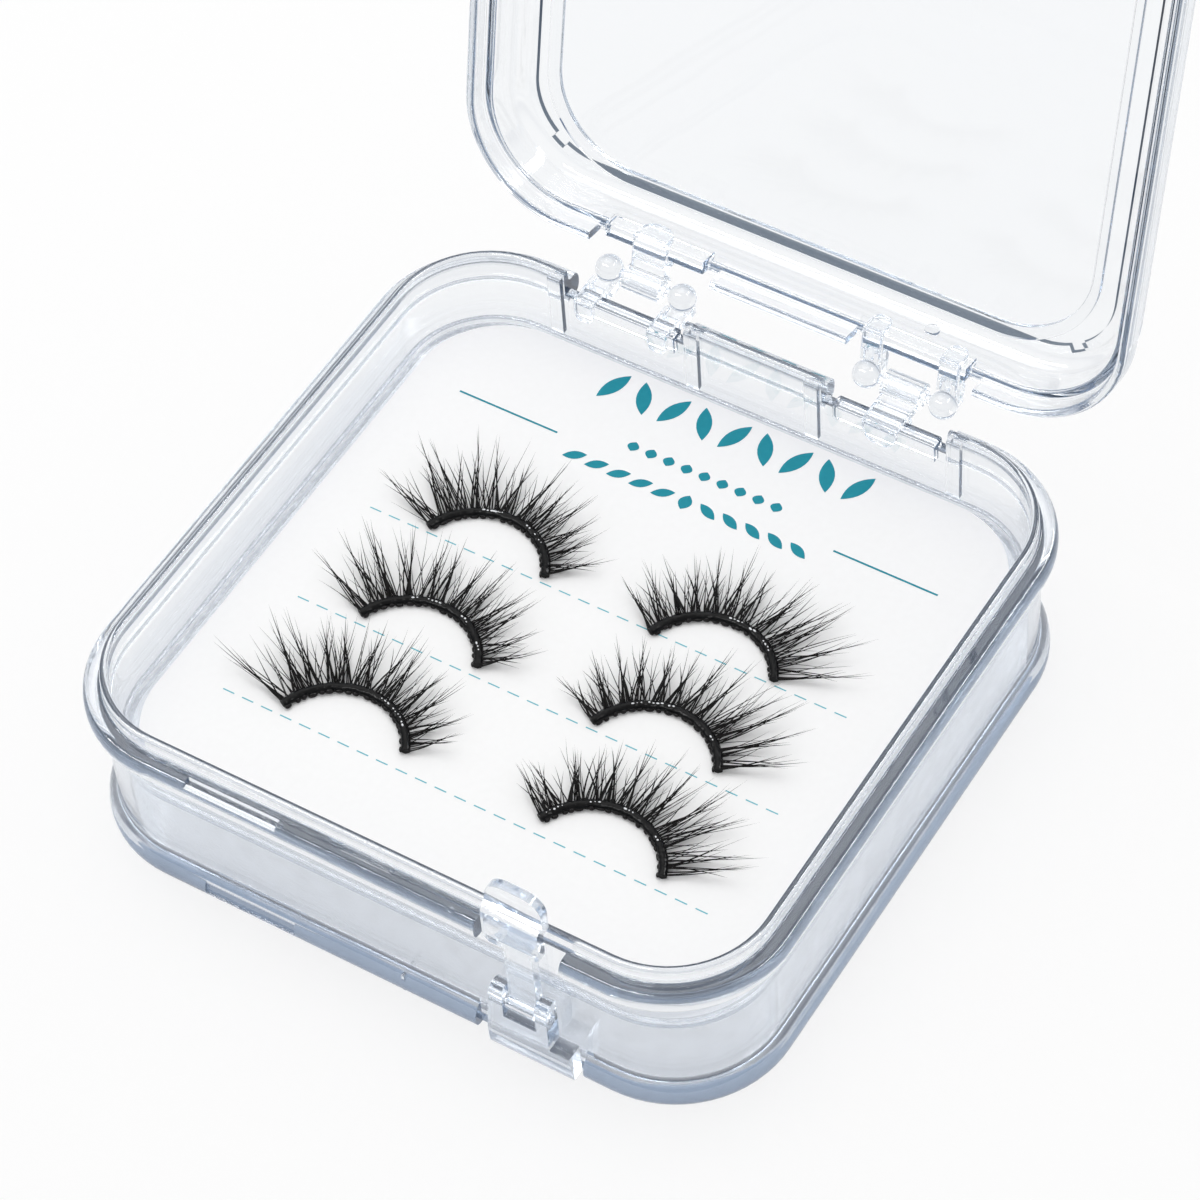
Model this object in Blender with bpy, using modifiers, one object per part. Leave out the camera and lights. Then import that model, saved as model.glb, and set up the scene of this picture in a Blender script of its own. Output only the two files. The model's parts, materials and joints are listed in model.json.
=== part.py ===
"""Clear hinged case that holds six half lashes on a card.

The case is a pair of shallow trays of clear polystyrene with rounded corners. Each tray has a
flange round its rim, and the lid laps over a raised lip on the base. Two hinges at the rear run
on one axis: each is a ball-ended pin between saddle clips that straddle short rails on the two
shells. A thumb latch at the front turns on a pin in a bracket at the foot of the base. Inside, a
skirted platform carries a card, and the six lashes lie on the card in two columns.

The origin is the centre of the flat underside. X runs along the hinges, +Y points at them and
+Z points up. The lid stands open, leaning back on its stop.
"""

import math

import bmesh
import bpy
from mathutils import Matrix, Vector

MM = 0.001

# Outline of the flange, seen from above
CASE_WIDTH = 90.0 * MM
CASE_DEPTH = 87.5 * MM
CORNER_RADIUS = 15.0 * MM
CORNER_STEPS = 6

# Clearances
SEAT_GAP = 0.3 * MM
OVERRUN = 1.0 * MM
JOIN_LAP = 0.5 * MM
WELD_DISTANCE = 0.001 * MM
SMOOTH_DEGREES = 40.0

# Base shell section
BASE_HEIGHT = 22.0 * MM
WALL_INSET = 1.8 * MM
WALL_THICKNESS = 1.4 * MM
FLANGE_HEIGHT = 3.2 * MM
FOOT_INSET = 0.5 * MM
FOOT_HEIGHT = 4.0 * MM
FOOT_SLOPE = 1.4 * MM
FLOOR_THICKNESS = 1.6 * MM
EDGE_CHAMFER = 0.7 * MM
LIP_INSET = 2.25 * MM
LIP_HEIGHT = 2.0 * MM
LIP_CHAMFER = 0.3 * MM

# Lid shell section
LID_INSET = 0.75 * MM
LID_WALL_INSET = 1.85 * MM
LID_WALL_THICKNESS = 1.3 * MM
LID_EDGE_CHAMFER = 0.35 * MM
LID_HEIGHT = 9.0 * MM
LAP_CLEARANCE = 0.35 * MM
LAP_HEIGHT = 2.3 * MM
SHOULDER_RADIUS = 3.2 * MM
SHOULDER_STEPS = 4
LID_BORDER = 1.0 * MM
WINDOW_SIDE_MARGIN = 3.15 * MM
WINDOW_END_MARGIN = 0.5 * MM
WINDOW_CORNER_EASE = 2.05 * MM
WINDOW_RECESS = 0.6 * MM
LID_BOSS_RADIUS = 0.9 * MM
LID_BOSS_RAISE = 0.35 * MM
LID_BOSS_HEIGHT = 5.6 * MM

# Hinges
HINGE_OFFSET = 17.7 * MM
PIVOT_BEHIND_FLANGE = 1.85 * MM
LID_OPEN_DEGREES = 101.3
NOTCH_WIDTH = 16.8 * MM
NOTCH_WALL_DROP = 0.6 * MM
NOTCH_RIB_WIDTH = 1.8 * MM
NOTCH_RIB_DEPTH = 0.7 * MM
NOTCH_RIB_MARGIN = 0.2 * MM
RAIL_LENGTH = 13.8 * MM
RAIL_INSET = 1.45 * MM
RAIL_THICKNESS = 2.0 * MM
RAIL_FROM_PIVOT = 1.25 * MM
RAIL_ROOT = 2.9 * MM
RAIL_ROUND = 0.4 * MM
CLIP_WALL = 0.8 * MM
CLIP_LEG = 2.65 * MM
CLIP_HEEL = 1.65 * MM
CLIP_ROUND = 0.22 * MM
CENTRE_CLIP_WIDTH = 4.6 * MM
CENTRE_ARM_DEPTH = 1.3 * MM
OUTER_CLIP_WIDTH = 2.6 * MM
CUP_WALL = 0.85 * MM
CUP_REACH = 0.9 * MM
BARREL_RADIUS = 1.7 * MM
BARREL_LENGTH = 5.0 * MM
PIN_RADIUS = 0.55 * MM
BALL_RADIUS = 1.75 * MM
BALL_OFFSET = 5.1 * MM
BALL_STEPS = 7
CUP_STEPS = 10
SLOT_LENGTH = 1.5 * MM
SLOT_WIDTH = 0.8 * MM
LEG_END_STEPS = 8
ROUND_SIDES = 18

# Front latch
LATCH_X = 19.4 * MM
LATCH_NOTCH_WIDTH = 10.8 * MM
FOOT_NOTCH_WIDTH = 14.0 * MM
BRACKET_HALF_TOP = 3.6 * MM
BRACKET_HALF_FOOT = 4.9 * MM
BRACKET_DEPTH = 2.2 * MM
BRACKET_HEIGHT = 12.4 * MM
BRACKET_CHAMFER = 0.6 * MM
BRACKET_STEP_WIDTH = 2.6 * MM
BRACKET_STEP_HEIGHT = 5.0 * MM
LATCH_PIN_RADIUS = 0.45 * MM
LATCH_BORE_CLEARANCE = 0.25 * MM
LATCH_PIN_BELOW_TOP = 2.6 * MM
LATCH_PIN_LENGTH = 6.8 * MM
KNUCKLE_RADIUS = 1.05 * MM
KNUCKLE_ROOM = 1.15 * MM
SHANK_WIDTH = 3.6 * MM
LEVER_THICKNESS = 1.2 * MM
LEVER_WIDTH = 7.2 * MM
LEVER_WIDENS_AT = 20.6 * MM
LEVER_TOP = 31.0 * MM
LEVER_JOG = 0.8 * MM
LEVER_TOP_RADIUS = 2.4 * MM
HOOK_REACH = 0.8 * MM
HOOK_DEPTH = 0.9 * MM
HOOK_SLOPE = 1.4 * MM

# Shallow panels at the front, left of the middle
PANEL_X = -18.0 * MM
PANEL_WIDTH = 12.2 * MM
RIM_PANEL_DEPTH = 0.7 * MM
RIM_PANEL_MARGIN = 0.35 * MM
FOOT_PANEL_DEPTH = 0.45 * MM
FOOT_PANEL_MARGIN = 0.7 * MM

# Platform and card
CARD_TOP = 13.6 * MM
CARD_THICKNESS = 0.4 * MM
CARD_SIDE_CLEARANCE = 1.45 * MM
CARD_END_CLEARANCE = 0.35 * MM
CARD_CORNER_EASE = 0.1 * MM
PLATFORM_WALL = 1.0 * MM
PLATFORM_RIM_WIDTH = 0.6 * MM
PLATFORM_RIM_HEIGHT = 0.9 * MM

# Lashes, in two columns of three
LINE_PITCH = 15.5 * MM
FIRST_LINE_Y = 5.7 * MM
LASH_CHORD = 17.0 * MM
LASH_RISE = 5.9 * MM
LASH_ABOVE_LINE = 1.3 * MM
COLUMN_MIDDLE_SHARE = 0.343
TIP_SIDE_MARGIN = 3.6 * MM
TIP_MIDDLE_MARGIN = 1.5 * MM
GLUE_WIDTH = 0.8 * MM
GLUE_HEIGHT = 0.9 * MM
GLUE_ROUND = 0.2 * MM
BACKING_WIDTH = 0.35 * MM
BACKING_HEIGHT = 1.05 * MM
BAND_STEPS = 14
STRANDS_PER_ROW = 30
STRAND_SIDES = 3
STRAND_RADIUS = 0.09 * MM
BEND_RADIUS_SHARE = 0.8
LENGTH_SWING_SHARE = 0.14
SWING_PER_STRAND = 2.4
SWING_PER_ROW = 1.7
BEND_PLACE_SHARE = 0.5
BEND_RISE_SHARE = 0.32
ROW_PLACE_SHARES = (0.25, 0.75)
ROW_HEIGHTS = (0.3 * MM, 0.78 * MM)
ROW_RISES = (0.9 * MM, 3.1 * MM)
FAN_OUTER_DEGREES = 64.0
FAN_INNER_DEGREES = 70.0
CLUSTER_SIZE = 5
CLUSTER_MIDDLE_SHARE = 0.5
CLUSTER_PULL_SHARE = 0.5
LASHES_PER_COLUMN = 3

# How each lash sits: shifts along X and Y as shares of the chord, and a turn in degrees
LASH_SHIFT_SHARES = (
    (-0.009, -0.024),
    (0.003, 0.003),
    (-0.032, 0.041),
    (-0.097, -0.065),
    (-0.041, 0.009),
    (0.076, 0.038),
)
LASH_TURN_DEGREES = (0.6, 0.0, 4.0, 3.0, 3.2, -0.7)

# Values that follow from the sizes above
HALF_WIDTH = CASE_WIDTH / 2
HALF_DEPTH = CASE_DEPTH / 2
WALL_INNER = WALL_INSET + WALL_THICKNESS
LIP_TOP = BASE_HEIGHT + LIP_HEIGHT
FLANGE_UNDERSIDE = BASE_HEIGHT - FLANGE_HEIGHT
LAP_INSET = LIP_INSET - LAP_CLEARANCE
LID_WALL_INNER = LID_WALL_INSET + LID_WALL_THICKNESS
LID_BORDER_INSET = LID_WALL_INSET + SHOULDER_RADIUS + LID_BORDER
WINDOW_HALF_WIDTH = HALF_WIDTH - LID_BORDER_INSET - WINDOW_SIDE_MARGIN
WINDOW_HALF_DEPTH = HALF_DEPTH - LID_BORDER_INSET - WINDOW_END_MARGIN
WINDOW_RADIUS = CORNER_RADIUS - LID_BORDER_INSET + WINDOW_CORNER_EASE
PIVOT = Vector((0, HALF_DEPTH + PIVOT_BEHIND_FLANGE, BASE_HEIGHT + SEAT_GAP / 2))
LID_RIM = PIVOT.z + SEAT_GAP / 2
LID_FLANGE_TOP = LID_RIM + FLANGE_HEIGHT
LID_TOP = LID_RIM + LID_HEIGHT
PANE_TOP = LID_TOP - WINDOW_RECESS
RAIL_OUTER = PIVOT_BEHIND_FLANGE + RAIL_INSET
RAIL_INNER = RAIL_OUTER + RAIL_THICKNESS
RAIL_Y = HALF_DEPTH - RAIL_INSET - RAIL_THICKNESS / 2
SADDLE_FACE = RAIL_FROM_PIVOT - SEAT_GAP - CLIP_WALL
CLIP_OUTER = RAIL_OUTER - SEAT_GAP - CLIP_WALL
BALL_CUP_RADIUS = BALL_RADIUS + SEAT_GAP
PIN_BORE_RADIUS = PIN_RADIUS + SEAT_GAP
WALL_FRONT_Y = WALL_INSET - HALF_DEPTH
BRACKET_BACK_Y = WALL_FRONT_Y - SEAT_GAP
LATCH_PIN_Y = BRACKET_BACK_Y - BRACKET_DEPTH / 2
LATCH_PIN_HEIGHT = BRACKET_HEIGHT - LATCH_PIN_BELOW_TOP
LATCH_BORE_RADIUS = LATCH_PIN_RADIUS + LATCH_BORE_CLEARANCE
BRACKET_BLOCK_HEIGHT = LATCH_PIN_HEIGHT - KNUCKLE_RADIUS - KNUCKLE_ROOM
LEVER_BACK_Y = BRACKET_BACK_Y
LEVER_HIGH_BACK_Y = LID_INSET - HALF_DEPTH - SEAT_GAP
CARD_BOTTOM = CARD_TOP - CARD_THICKNESS
PLATFORM_TOP = CARD_BOTTOM - SEAT_GAP
PLATFORM_FOOT = FLOOR_THICKNESS + SEAT_GAP
PLATFORM_INSET = WALL_INNER + SEAT_GAP
CARD_SEAT_INSET = PLATFORM_INSET + PLATFORM_RIM_WIDTH
CARD_HALF_WIDTH = HALF_WIDTH - CARD_SEAT_INSET - CARD_SIDE_CLEARANCE
CARD_HALF_DEPTH = HALF_DEPTH - CARD_SEAT_INSET - CARD_END_CLEARANCE
CARD_RADIUS = CORNER_RADIUS - CARD_SEAT_INSET + CARD_CORNER_EASE
LASH_Z = CARD_TOP + SEAT_GAP
LASH_HALF_CHORD = LASH_CHORD / 2
COLUMN_FREE_WIDTH = CARD_HALF_WIDTH - LASH_CHORD
MIDDLE_MARGIN = COLUMN_FREE_WIDTH * COLUMN_MIDDLE_SHARE
SIDE_MARGIN = COLUMN_FREE_WIDTH - MIDDLE_MARGIN
COLUMN_X = MIDDLE_MARGIN + LASH_HALF_CHORD
LONG_STRAND = (SIDE_MARGIN - TIP_SIDE_MARGIN) / math.sin(math.radians(FAN_OUTER_DEGREES))
SHORT_STRAND = (MIDDLE_MARGIN - TIP_MIDDLE_MARGIN) / math.sin(math.radians(FAN_INNER_DEGREES))
LASH_RADIUS = (LASH_HALF_CHORD ** 2 + LASH_RISE ** 2) / (2 * LASH_RISE)
LASH_HALF_ANGLE = math.asin(LASH_HALF_CHORD / LASH_RADIUS)
LASH_ARC_DROP = LASH_RADIUS - LASH_RISE

# Finish of each material: colour, roughness, metallic
FINISHES = {
    "clear_polystyrene": ((0.86, 0.90, 0.95, 1.0), 0.08, 0.0),
    "clear_platform": ((0.90, 0.92, 0.95, 1.0), 0.2, 0.0),
    "white_card": ((0.95, 0.95, 0.96, 1.0), 0.6, 0.0),
    "black_glue": ((0.01, 0.01, 0.012, 1.0), 0.18, 0.0),
    "black_fibre": ((0.015, 0.014, 0.014, 1.0), 0.45, 0.0),
}


def clear_scene():
    """Remove whatever the file holds."""
    for item in list(bpy.data.objects):
        bpy.data.objects.remove(item, do_unlink=True)


def new_collection(name):
    """Add a collection to the scene."""
    made = bpy.data.collections.new(name)
    bpy.context.scene.collection.children.link(made)
    return made


def finish_material(finish, name):
    """A Principled material for one sub-part."""
    colour, roughness, metallic = FINISHES[finish]
    made = bpy.data.materials.new(name)
    made.use_nodes = True
    shader = made.node_tree.nodes["Principled BSDF"]
    shader.inputs["Base Color"].default_value = colour
    shader.inputs["Roughness"].default_value = roughness
    shader.inputs["Metallic"].default_value = metallic
    made.diffuse_color = colour
    return made


def close_mesh(mesh):
    """Weld a curve's loose caps, fill its open ends and turn every face outwards."""
    work = bmesh.new()
    work.from_mesh(mesh)
    bmesh.ops.remove_doubles(work, verts=work.verts, dist=WELD_DISTANCE)
    bmesh.ops.holes_fill(work, edges=work.edges)
    bmesh.ops.recalc_face_normals(work, faces=work.faces)
    work.to_mesh(mesh)
    work.free()


def polygon_curve(name, points, fill_mode):
    """A closed flat curve through the points."""
    data = bpy.data.curves.new(name, "CURVE")
    data.dimensions = "2D"
    data.fill_mode = fill_mode
    spline = data.splines.new("POLY")
    spline.points.add(len(points) - 1)
    for knot, point in zip(spline.points, points):
        knot.co = (point[0], point[1], 0, 1)
    spline.use_cyclic_u = True
    item = bpy.data.objects.new(name, data)
    bpy.context.scene.collection.objects.link(item)
    return item


def curve_to_mesh(item, name):
    """Turn a curve object into a closed mesh object at the same place."""
    graph = bpy.context.evaluated_depsgraph_get()
    mesh = bpy.data.meshes.new_from_object(item.evaluated_get(graph))
    close_mesh(mesh)
    made = bpy.data.objects.new(name, mesh)
    made.matrix_world = item.matrix_world.copy()
    bpy.data.objects.remove(item, do_unlink=True)
    return made


def rounded_rectangle(half_x, half_y, radius, steps=CORNER_STEPS):
    """Outline of a rectangle with round corners, anticlockwise."""
    points = []
    for quarter, (side_x, side_y) in enumerate(((1, 1), (-1, 1), (-1, -1), (1, -1))):
        for step in range(steps + 1):
            angle = math.pi / 2 * (quarter + step / steps)
            x = (half_x - radius) * side_x + radius * math.cos(angle)
            y = (half_y - radius) * side_y + radius * math.sin(angle)
            points.append((x, y))
    return points


def case_outline(inset):
    """The flange outline moved inwards by an inset."""
    return rounded_rectangle(HALF_WIDTH - inset, HALF_DEPTH - inset, CORNER_RADIUS - inset)


def prism(name, points, low, high):
    """A flat outline made solid between two heights."""
    flat = polygon_curve(name + "_outline", points, "BOTH")
    flat.data.extrude = (high - low) / 2
    made = curve_to_mesh(flat, name)
    made.data.transform(Matrix.Translation((0, 0, (high + low) / 2)))
    return made


def swept_tray(name, path_points, profile):
    """An open profile of insets and heights carried round an outline, closed flat at its ends."""
    path = polygon_curve(name + "_path", path_points, "NONE")
    section = polygon_curve(name + "_section", profile, "NONE")
    section.data.splines[0].use_cyclic_u = False
    path.data.bevel_mode = "OBJECT"
    path.data.bevel_object = section
    made = curve_to_mesh(path, name)
    bpy.data.objects.remove(section, do_unlink=True)
    return made


def side_prism(name, outline, centre_x, width):
    """An outline of Y and Z places, made solid across a width along X."""
    made = prism(name, outline, -width / 2, width / 2)
    turn = Matrix(((0, 0, 1, centre_x), (1, 0, 0, 0), (0, 1, 0, 0), (0, 0, 0, 1)))
    made.data.transform(turn)
    close_mesh(made.data)
    return made


def front_prism(name, outline, low_y, high_y):
    """An outline of X and Z places, made solid between two Y places."""
    made = prism(name, outline, -high_y, -low_y)
    turn = Matrix(((1, 0, 0, 0), (0, 0, -1, 0), (0, 1, 0, 0), (0, 0, 0, 1)))
    made.data.transform(turn)
    close_mesh(made.data)
    return made


def block(name, low, high):
    """A box between two corners."""
    mesh = bpy.data.meshes.new(name)
    work = bmesh.new()
    bmesh.ops.create_cube(work, size=1)
    for vert in work.verts:
        vert.co = Vector(
            (high[axis] if vert.co[axis] > 0 else low[axis]) for axis in range(3)
        )
    work.to_mesh(mesh)
    work.free()
    return bpy.data.objects.new(name, mesh)


def rod(name, radius, length, centre, turn=0):
    """A cylinder along X, or turned from X towards Y about the upright."""
    mesh = bpy.data.meshes.new(name)
    work = bmesh.new()
    bmesh.ops.create_cone(
        work, cap_ends=True, segments=ROUND_SIDES, radius1=radius, radius2=radius, depth=length
    )
    work.to_mesh(mesh)
    work.free()
    mesh.transform(Matrix.Rotation(math.pi / 2, 4, "Y"))
    mesh.transform(Matrix.Translation(centre) @ Matrix.Rotation(turn, 4, "Z"))
    return bpy.data.objects.new(name, mesh)


def ball(name, radius, centre):
    """A sphere whose poles lie along X."""
    mesh = bpy.data.meshes.new(name)
    work = bmesh.new()
    bmesh.ops.create_uvsphere(work, u_segments=ROUND_SIDES, v_segments=CUP_STEPS, radius=radius)
    work.to_mesh(mesh)
    work.free()
    mesh.transform(Matrix.Translation(centre) @ Matrix.Rotation(math.pi / 2, 4, "Y"))
    return bpy.data.objects.new(name, mesh)


def add_bevel(item, width, segments=1):
    """Break the sharp edges of a plain solid."""
    bevel = item.modifiers.new("edges", "BEVEL")
    bevel.width = width
    bevel.segments = segments
    bevel.limit_method = "ANGLE"
    bevel.use_clamp_overlap = True


def add_boolean(item, tool, operation):
    """Cut, join or intersect with another solid, which is kept as a hidden guide."""
    CUTTERS.objects.link(tool)
    tool.hide_render = True
    tool.display_type = "WIRE"
    tool.parent = item.parent
    step = item.modifiers.new(tool.name, "BOOLEAN")
    step.operation = operation
    step.solver = "EXACT"
    step.object = tool


def smooth_mesh(mesh):
    """Shade the round faces smooth and keep the corners sharp."""
    mesh.shade_smooth()
    mesh.set_sharp_from_angle(angle=math.radians(SMOOTH_DEGREES))


def hang_on_lid(*items):
    """Carry pieces, modelled with the lid shut, on the hinge axis."""
    for item in items:
        item.data.transform(Matrix.Translation(-PIVOT))
        item.parent = LID_AXIS


def finish_part(item, finish):
    """Put a finished sub-part in the case's collection with its own material."""
    PARTS.objects.link(item)
    item.data.materials.clear()
    item.data.materials.append(finish_material(finish, item.name + "_" + finish))
    smooth_mesh(item.data)
    return item


def base_section():
    """Insets and heights round the base wall, from its underside to its floor."""
    return [
        (WALL_INNER, 0),
        (FOOT_INSET + EDGE_CHAMFER, 0),
        (FOOT_INSET, EDGE_CHAMFER),
        (FOOT_INSET, FOOT_HEIGHT - FOOT_SLOPE),
        (WALL_INSET, FOOT_HEIGHT),
        (WALL_INSET, FLANGE_UNDERSIDE),
        (EDGE_CHAMFER, FLANGE_UNDERSIDE),
        (0, FLANGE_UNDERSIDE + EDGE_CHAMFER),
        (0, BASE_HEIGHT - EDGE_CHAMFER),
        (EDGE_CHAMFER, BASE_HEIGHT),
        (LIP_INSET, BASE_HEIGHT),
        (LIP_INSET, LIP_TOP - LIP_CHAMFER),
        (LIP_INSET + LIP_CHAMFER, LIP_TOP),
        (WALL_INNER - LIP_CHAMFER, LIP_TOP),
        (WALL_INNER, LIP_TOP - LIP_CHAMFER),
        (WALL_INNER, FLOOR_THICKNESS),
    ]


def shoulder_arc(radius, outwards):
    """Round the lid's shoulder, from the wall up to the top or back down."""
    centre_inset = LID_WALL_INSET + SHOULDER_RADIUS
    centre_height = LID_TOP - SHOULDER_RADIUS
    points = []
    for step in range(SHOULDER_STEPS + 1):
        angle = math.pi / 2 * step / SHOULDER_STEPS
        inset = centre_inset - radius * math.cos(angle)
        points.append((inset, centre_height + radius * math.sin(angle)))
    return points if outwards else points[::-1]


def lid_section():
    """Insets and heights round the lid wall, from inside its top to outside, with the lid shut."""
    return (
        [(LID_BORDER_INSET, LID_TOP - LID_WALL_THICKNESS)]
        + shoulder_arc(SHOULDER_RADIUS - LID_WALL_THICKNESS, False)
        + [
            (LID_WALL_INNER, LID_RIM + LAP_HEIGHT),
            (LAP_INSET, LID_RIM + LAP_HEIGHT),
            (LAP_INSET, LID_RIM),
            (LID_INSET + LID_EDGE_CHAMFER, LID_RIM),
            (LID_INSET, LID_RIM + LID_EDGE_CHAMFER),
            (LID_INSET, LID_FLANGE_TOP - LID_EDGE_CHAMFER),
            (LID_INSET + LID_EDGE_CHAMFER, LID_FLANGE_TOP),
            (LID_WALL_INSET, LID_FLANGE_TOP),
        ]
        + shoulder_arc(SHOULDER_RADIUS, True)
        + [(LID_BORDER_INSET, LID_TOP)]
    )


def window_outline(spread):
    """The window's outline in the lid, made larger by a spread."""
    return rounded_rectangle(
        WINDOW_HALF_WIDTH + spread, WINDOW_HALF_DEPTH + spread, WINDOW_RADIUS + spread
    )


def hinge_centres():
    """X of the two hinges."""
    return (-HINGE_OFFSET, HINGE_OFFSET)


def notch_blocks(name, centre_x, above):
    """Cutters that open the rim at one hinge, on the base or, above the axis, on the lid."""
    side = 1 if above else -1
    outer_y = HALF_DEPTH + OVERRUN
    face_y = HALF_DEPTH - (LID_WALL_INSET if above else WALL_INSET)
    rim_end = PIVOT.z + side * (SEAT_GAP / 2 + FLANGE_HEIGHT + OVERRUN)
    wall_end = PIVOT.z + side * (RAIL_FROM_PIVOT + NOTCH_WALL_DROP)
    past = PIVOT.z - side * (LIP_HEIGHT + OVERRUN)
    low_x = centre_x - NOTCH_WIDTH / 2
    high_x = centre_x + NOTCH_WIDTH / 2
    rim = block(
        name + "_flange",
        (low_x, face_y, min(rim_end, past)),
        (high_x, outer_y, max(rim_end, past)),
    )
    wall = block(
        name + "_wall",
        (low_x, HALF_DEPTH - WALL_INNER - OVERRUN, min(wall_end, past)),
        (high_x, outer_y, max(wall_end, past)),
    )
    return rim, wall


def notch_ribs(name, centre_x):
    """Upright ribs inside the rear wall, one at each end of a hinge's notch."""
    ribs = []
    low_z = PLATFORM_TOP + PLATFORM_RIM_HEIGHT + SEAT_GAP
    high_z = LIP_TOP - LIP_CHAMFER - NOTCH_RIB_MARGIN
    inner_y = HALF_DEPTH - WALL_INNER - NOTCH_RIB_DEPTH
    for side in (-1, 1):
        near_x = centre_x + side * (NOTCH_WIDTH / 2 + NOTCH_RIB_MARGIN)
        far_x = near_x + side * NOTCH_RIB_WIDTH
        rib = block(
            name + ("_a" if side < 0 else "_b"),
            (min(near_x, far_x), inner_y, low_z),
            (max(near_x, far_x), inner_y + NOTCH_RIB_DEPTH + JOIN_LAP, high_z),
        )
        ribs.append(rib)
    return ribs


def rail(name, centre_x, above):
    """The short rail that the saddle clips straddle."""
    side = 1 if above else -1
    edge = PIVOT.z + side * RAIL_FROM_PIVOT
    root = edge + side * RAIL_ROOT
    made = block(
        name,
        (centre_x - RAIL_LENGTH / 2, RAIL_Y - RAIL_THICKNESS / 2, min(edge, root)),
        (centre_x + RAIL_LENGTH / 2, RAIL_Y + RAIL_THICKNESS / 2, max(edge, root)),
    )
    add_bevel(made, RAIL_ROUND)
    return made


def front_panels():
    """Cutters for the shallow panels in the rim and the foot at the front."""
    low_x = PANEL_X - PANEL_WIDTH / 2
    high_x = PANEL_X + PANEL_WIDTH / 2
    rim = block(
        "rim_panel_cut",
        (low_x, -HALF_DEPTH - OVERRUN, BASE_HEIGHT - RIM_PANEL_DEPTH),
        (high_x, WALL_FRONT_Y - RIM_PANEL_MARGIN, BASE_HEIGHT + OVERRUN),
    )
    foot_face = FOOT_INSET - HALF_DEPTH
    foot = block(
        "foot_panel_cut",
        (low_x, foot_face - OVERRUN, FOOT_PANEL_MARGIN),
        (high_x, foot_face + FOOT_PANEL_DEPTH, FOOT_HEIGHT - FOOT_PANEL_MARGIN),
    )
    return rim, foot


def latch_notches():
    """Cutters that make room for the lever in the flange and the bracket in the foot."""
    flange = block(
        "latch_flange_cut",
        (LATCH_X - LATCH_NOTCH_WIDTH / 2, -HALF_DEPTH - OVERRUN, FLANGE_UNDERSIDE - OVERRUN),
        (LATCH_X + LATCH_NOTCH_WIDTH / 2, WALL_FRONT_Y, LIP_TOP + OVERRUN),
    )
    foot = block(
        "latch_foot_cut",
        (LATCH_X - FOOT_NOTCH_WIDTH / 2, -HALF_DEPTH - OVERRUN, -OVERRUN),
        (LATCH_X + FOOT_NOTCH_WIDTH / 2, WALL_FRONT_Y, FOOT_HEIGHT + OVERRUN),
    )
    return flange, foot


def make_base_shell():
    """The bottom tray: wall, flange, lip, foot and floor in one moulding."""
    shell = swept_tray("base_shell", case_outline(0), base_section())
    for index, centre_x in enumerate(hinge_centres()):
        for cutter in notch_blocks("base_notch_%d" % index, centre_x, False):
            add_boolean(shell, cutter, "DIFFERENCE")
        add_boolean(shell, rail("base_rail_%d" % index, centre_x, False), "UNION")
        for rib in notch_ribs("base_rib_%d" % index, centre_x):
            add_boolean(shell, rib, "UNION")
    for cutter in front_panels() + latch_notches():
        add_boolean(shell, cutter, "DIFFERENCE")
    finish_part(shell, "clear_polystyrene")


def lid_boss():
    """A short round boss inside the lid's rear wall, between the right hinge's clips."""
    centre_y = HALF_DEPTH - LID_WALL_INNER
    centre = (HINGE_OFFSET, centre_y, LID_RIM + LID_BOSS_HEIGHT)
    return rod("lid_boss", LID_BOSS_RADIUS, 2 * LID_BOSS_RAISE, centre, math.pi / 2)


def make_lid_shell():
    """The top tray, with its window pane set down inside a raised border."""
    shell = swept_tray("lid_shell", case_outline(0), lid_section())
    pane = prism(
        "lid_pane",
        window_outline(LID_WALL_THICKNESS),
        PANE_TOP - LID_WALL_THICKNESS,
        PANE_TOP,
    )
    recess = prism("lid_recess", window_outline(0), PANE_TOP, LID_TOP + OVERRUN)
    tools = [(pane, "UNION"), (recess, "DIFFERENCE"), (lid_boss(), "UNION")]
    for index, centre_x in enumerate(hinge_centres()):
        for cutter in notch_blocks("lid_notch_%d" % index, centre_x, True):
            tools.append((cutter, "DIFFERENCE"))
        tools.append((rail("lid_rail_%d" % index, centre_x, True), "UNION"))
    hang_on_lid(shell)
    for tool, operation in tools:
        hang_on_lid(tool)
        add_boolean(shell, tool, operation)
    finish_part(shell, "clear_polystyrene")


def saddle_outline(reach, arm_depth):
    """Side view of a clip: distance in front of the axis, depth into its own shell."""
    inner = RAIL_INNER + SEAT_GAP + CLIP_WALL
    leg_end = SADDLE_FACE + CLIP_WALL + CLIP_LEG
    heel_end = SADDLE_FACE + CLIP_WALL + CLIP_HEEL
    bridge = SADDLE_FACE + CLIP_WALL
    return [
        (-reach, SADDLE_FACE),
        (inner, SADDLE_FACE),
        (inner, leg_end),
        (inner - CLIP_WALL, leg_end),
        (inner - CLIP_WALL, bridge),
        (CLIP_OUTER + CLIP_WALL, bridge),
        (CLIP_OUTER + CLIP_WALL, heel_end),
        (CLIP_OUTER, heel_end),
        (CLIP_OUTER, SADDLE_FACE + arm_depth),
        (-reach, SADDLE_FACE + arm_depth),
    ]


def clip_body(name, centre_x, width, above, reach, arm_depth):
    """A clip's plain body, on the base or, above the axis, on the lid."""
    side = 1 if above else -1
    outline = []
    for ahead, depth in saddle_outline(reach, arm_depth):
        outline.append((PIVOT.y - ahead, PIVOT.z + side * depth))
    made = side_prism(name, outline, centre_x, width)
    add_bevel(made, CLIP_ROUND)
    return made


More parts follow.
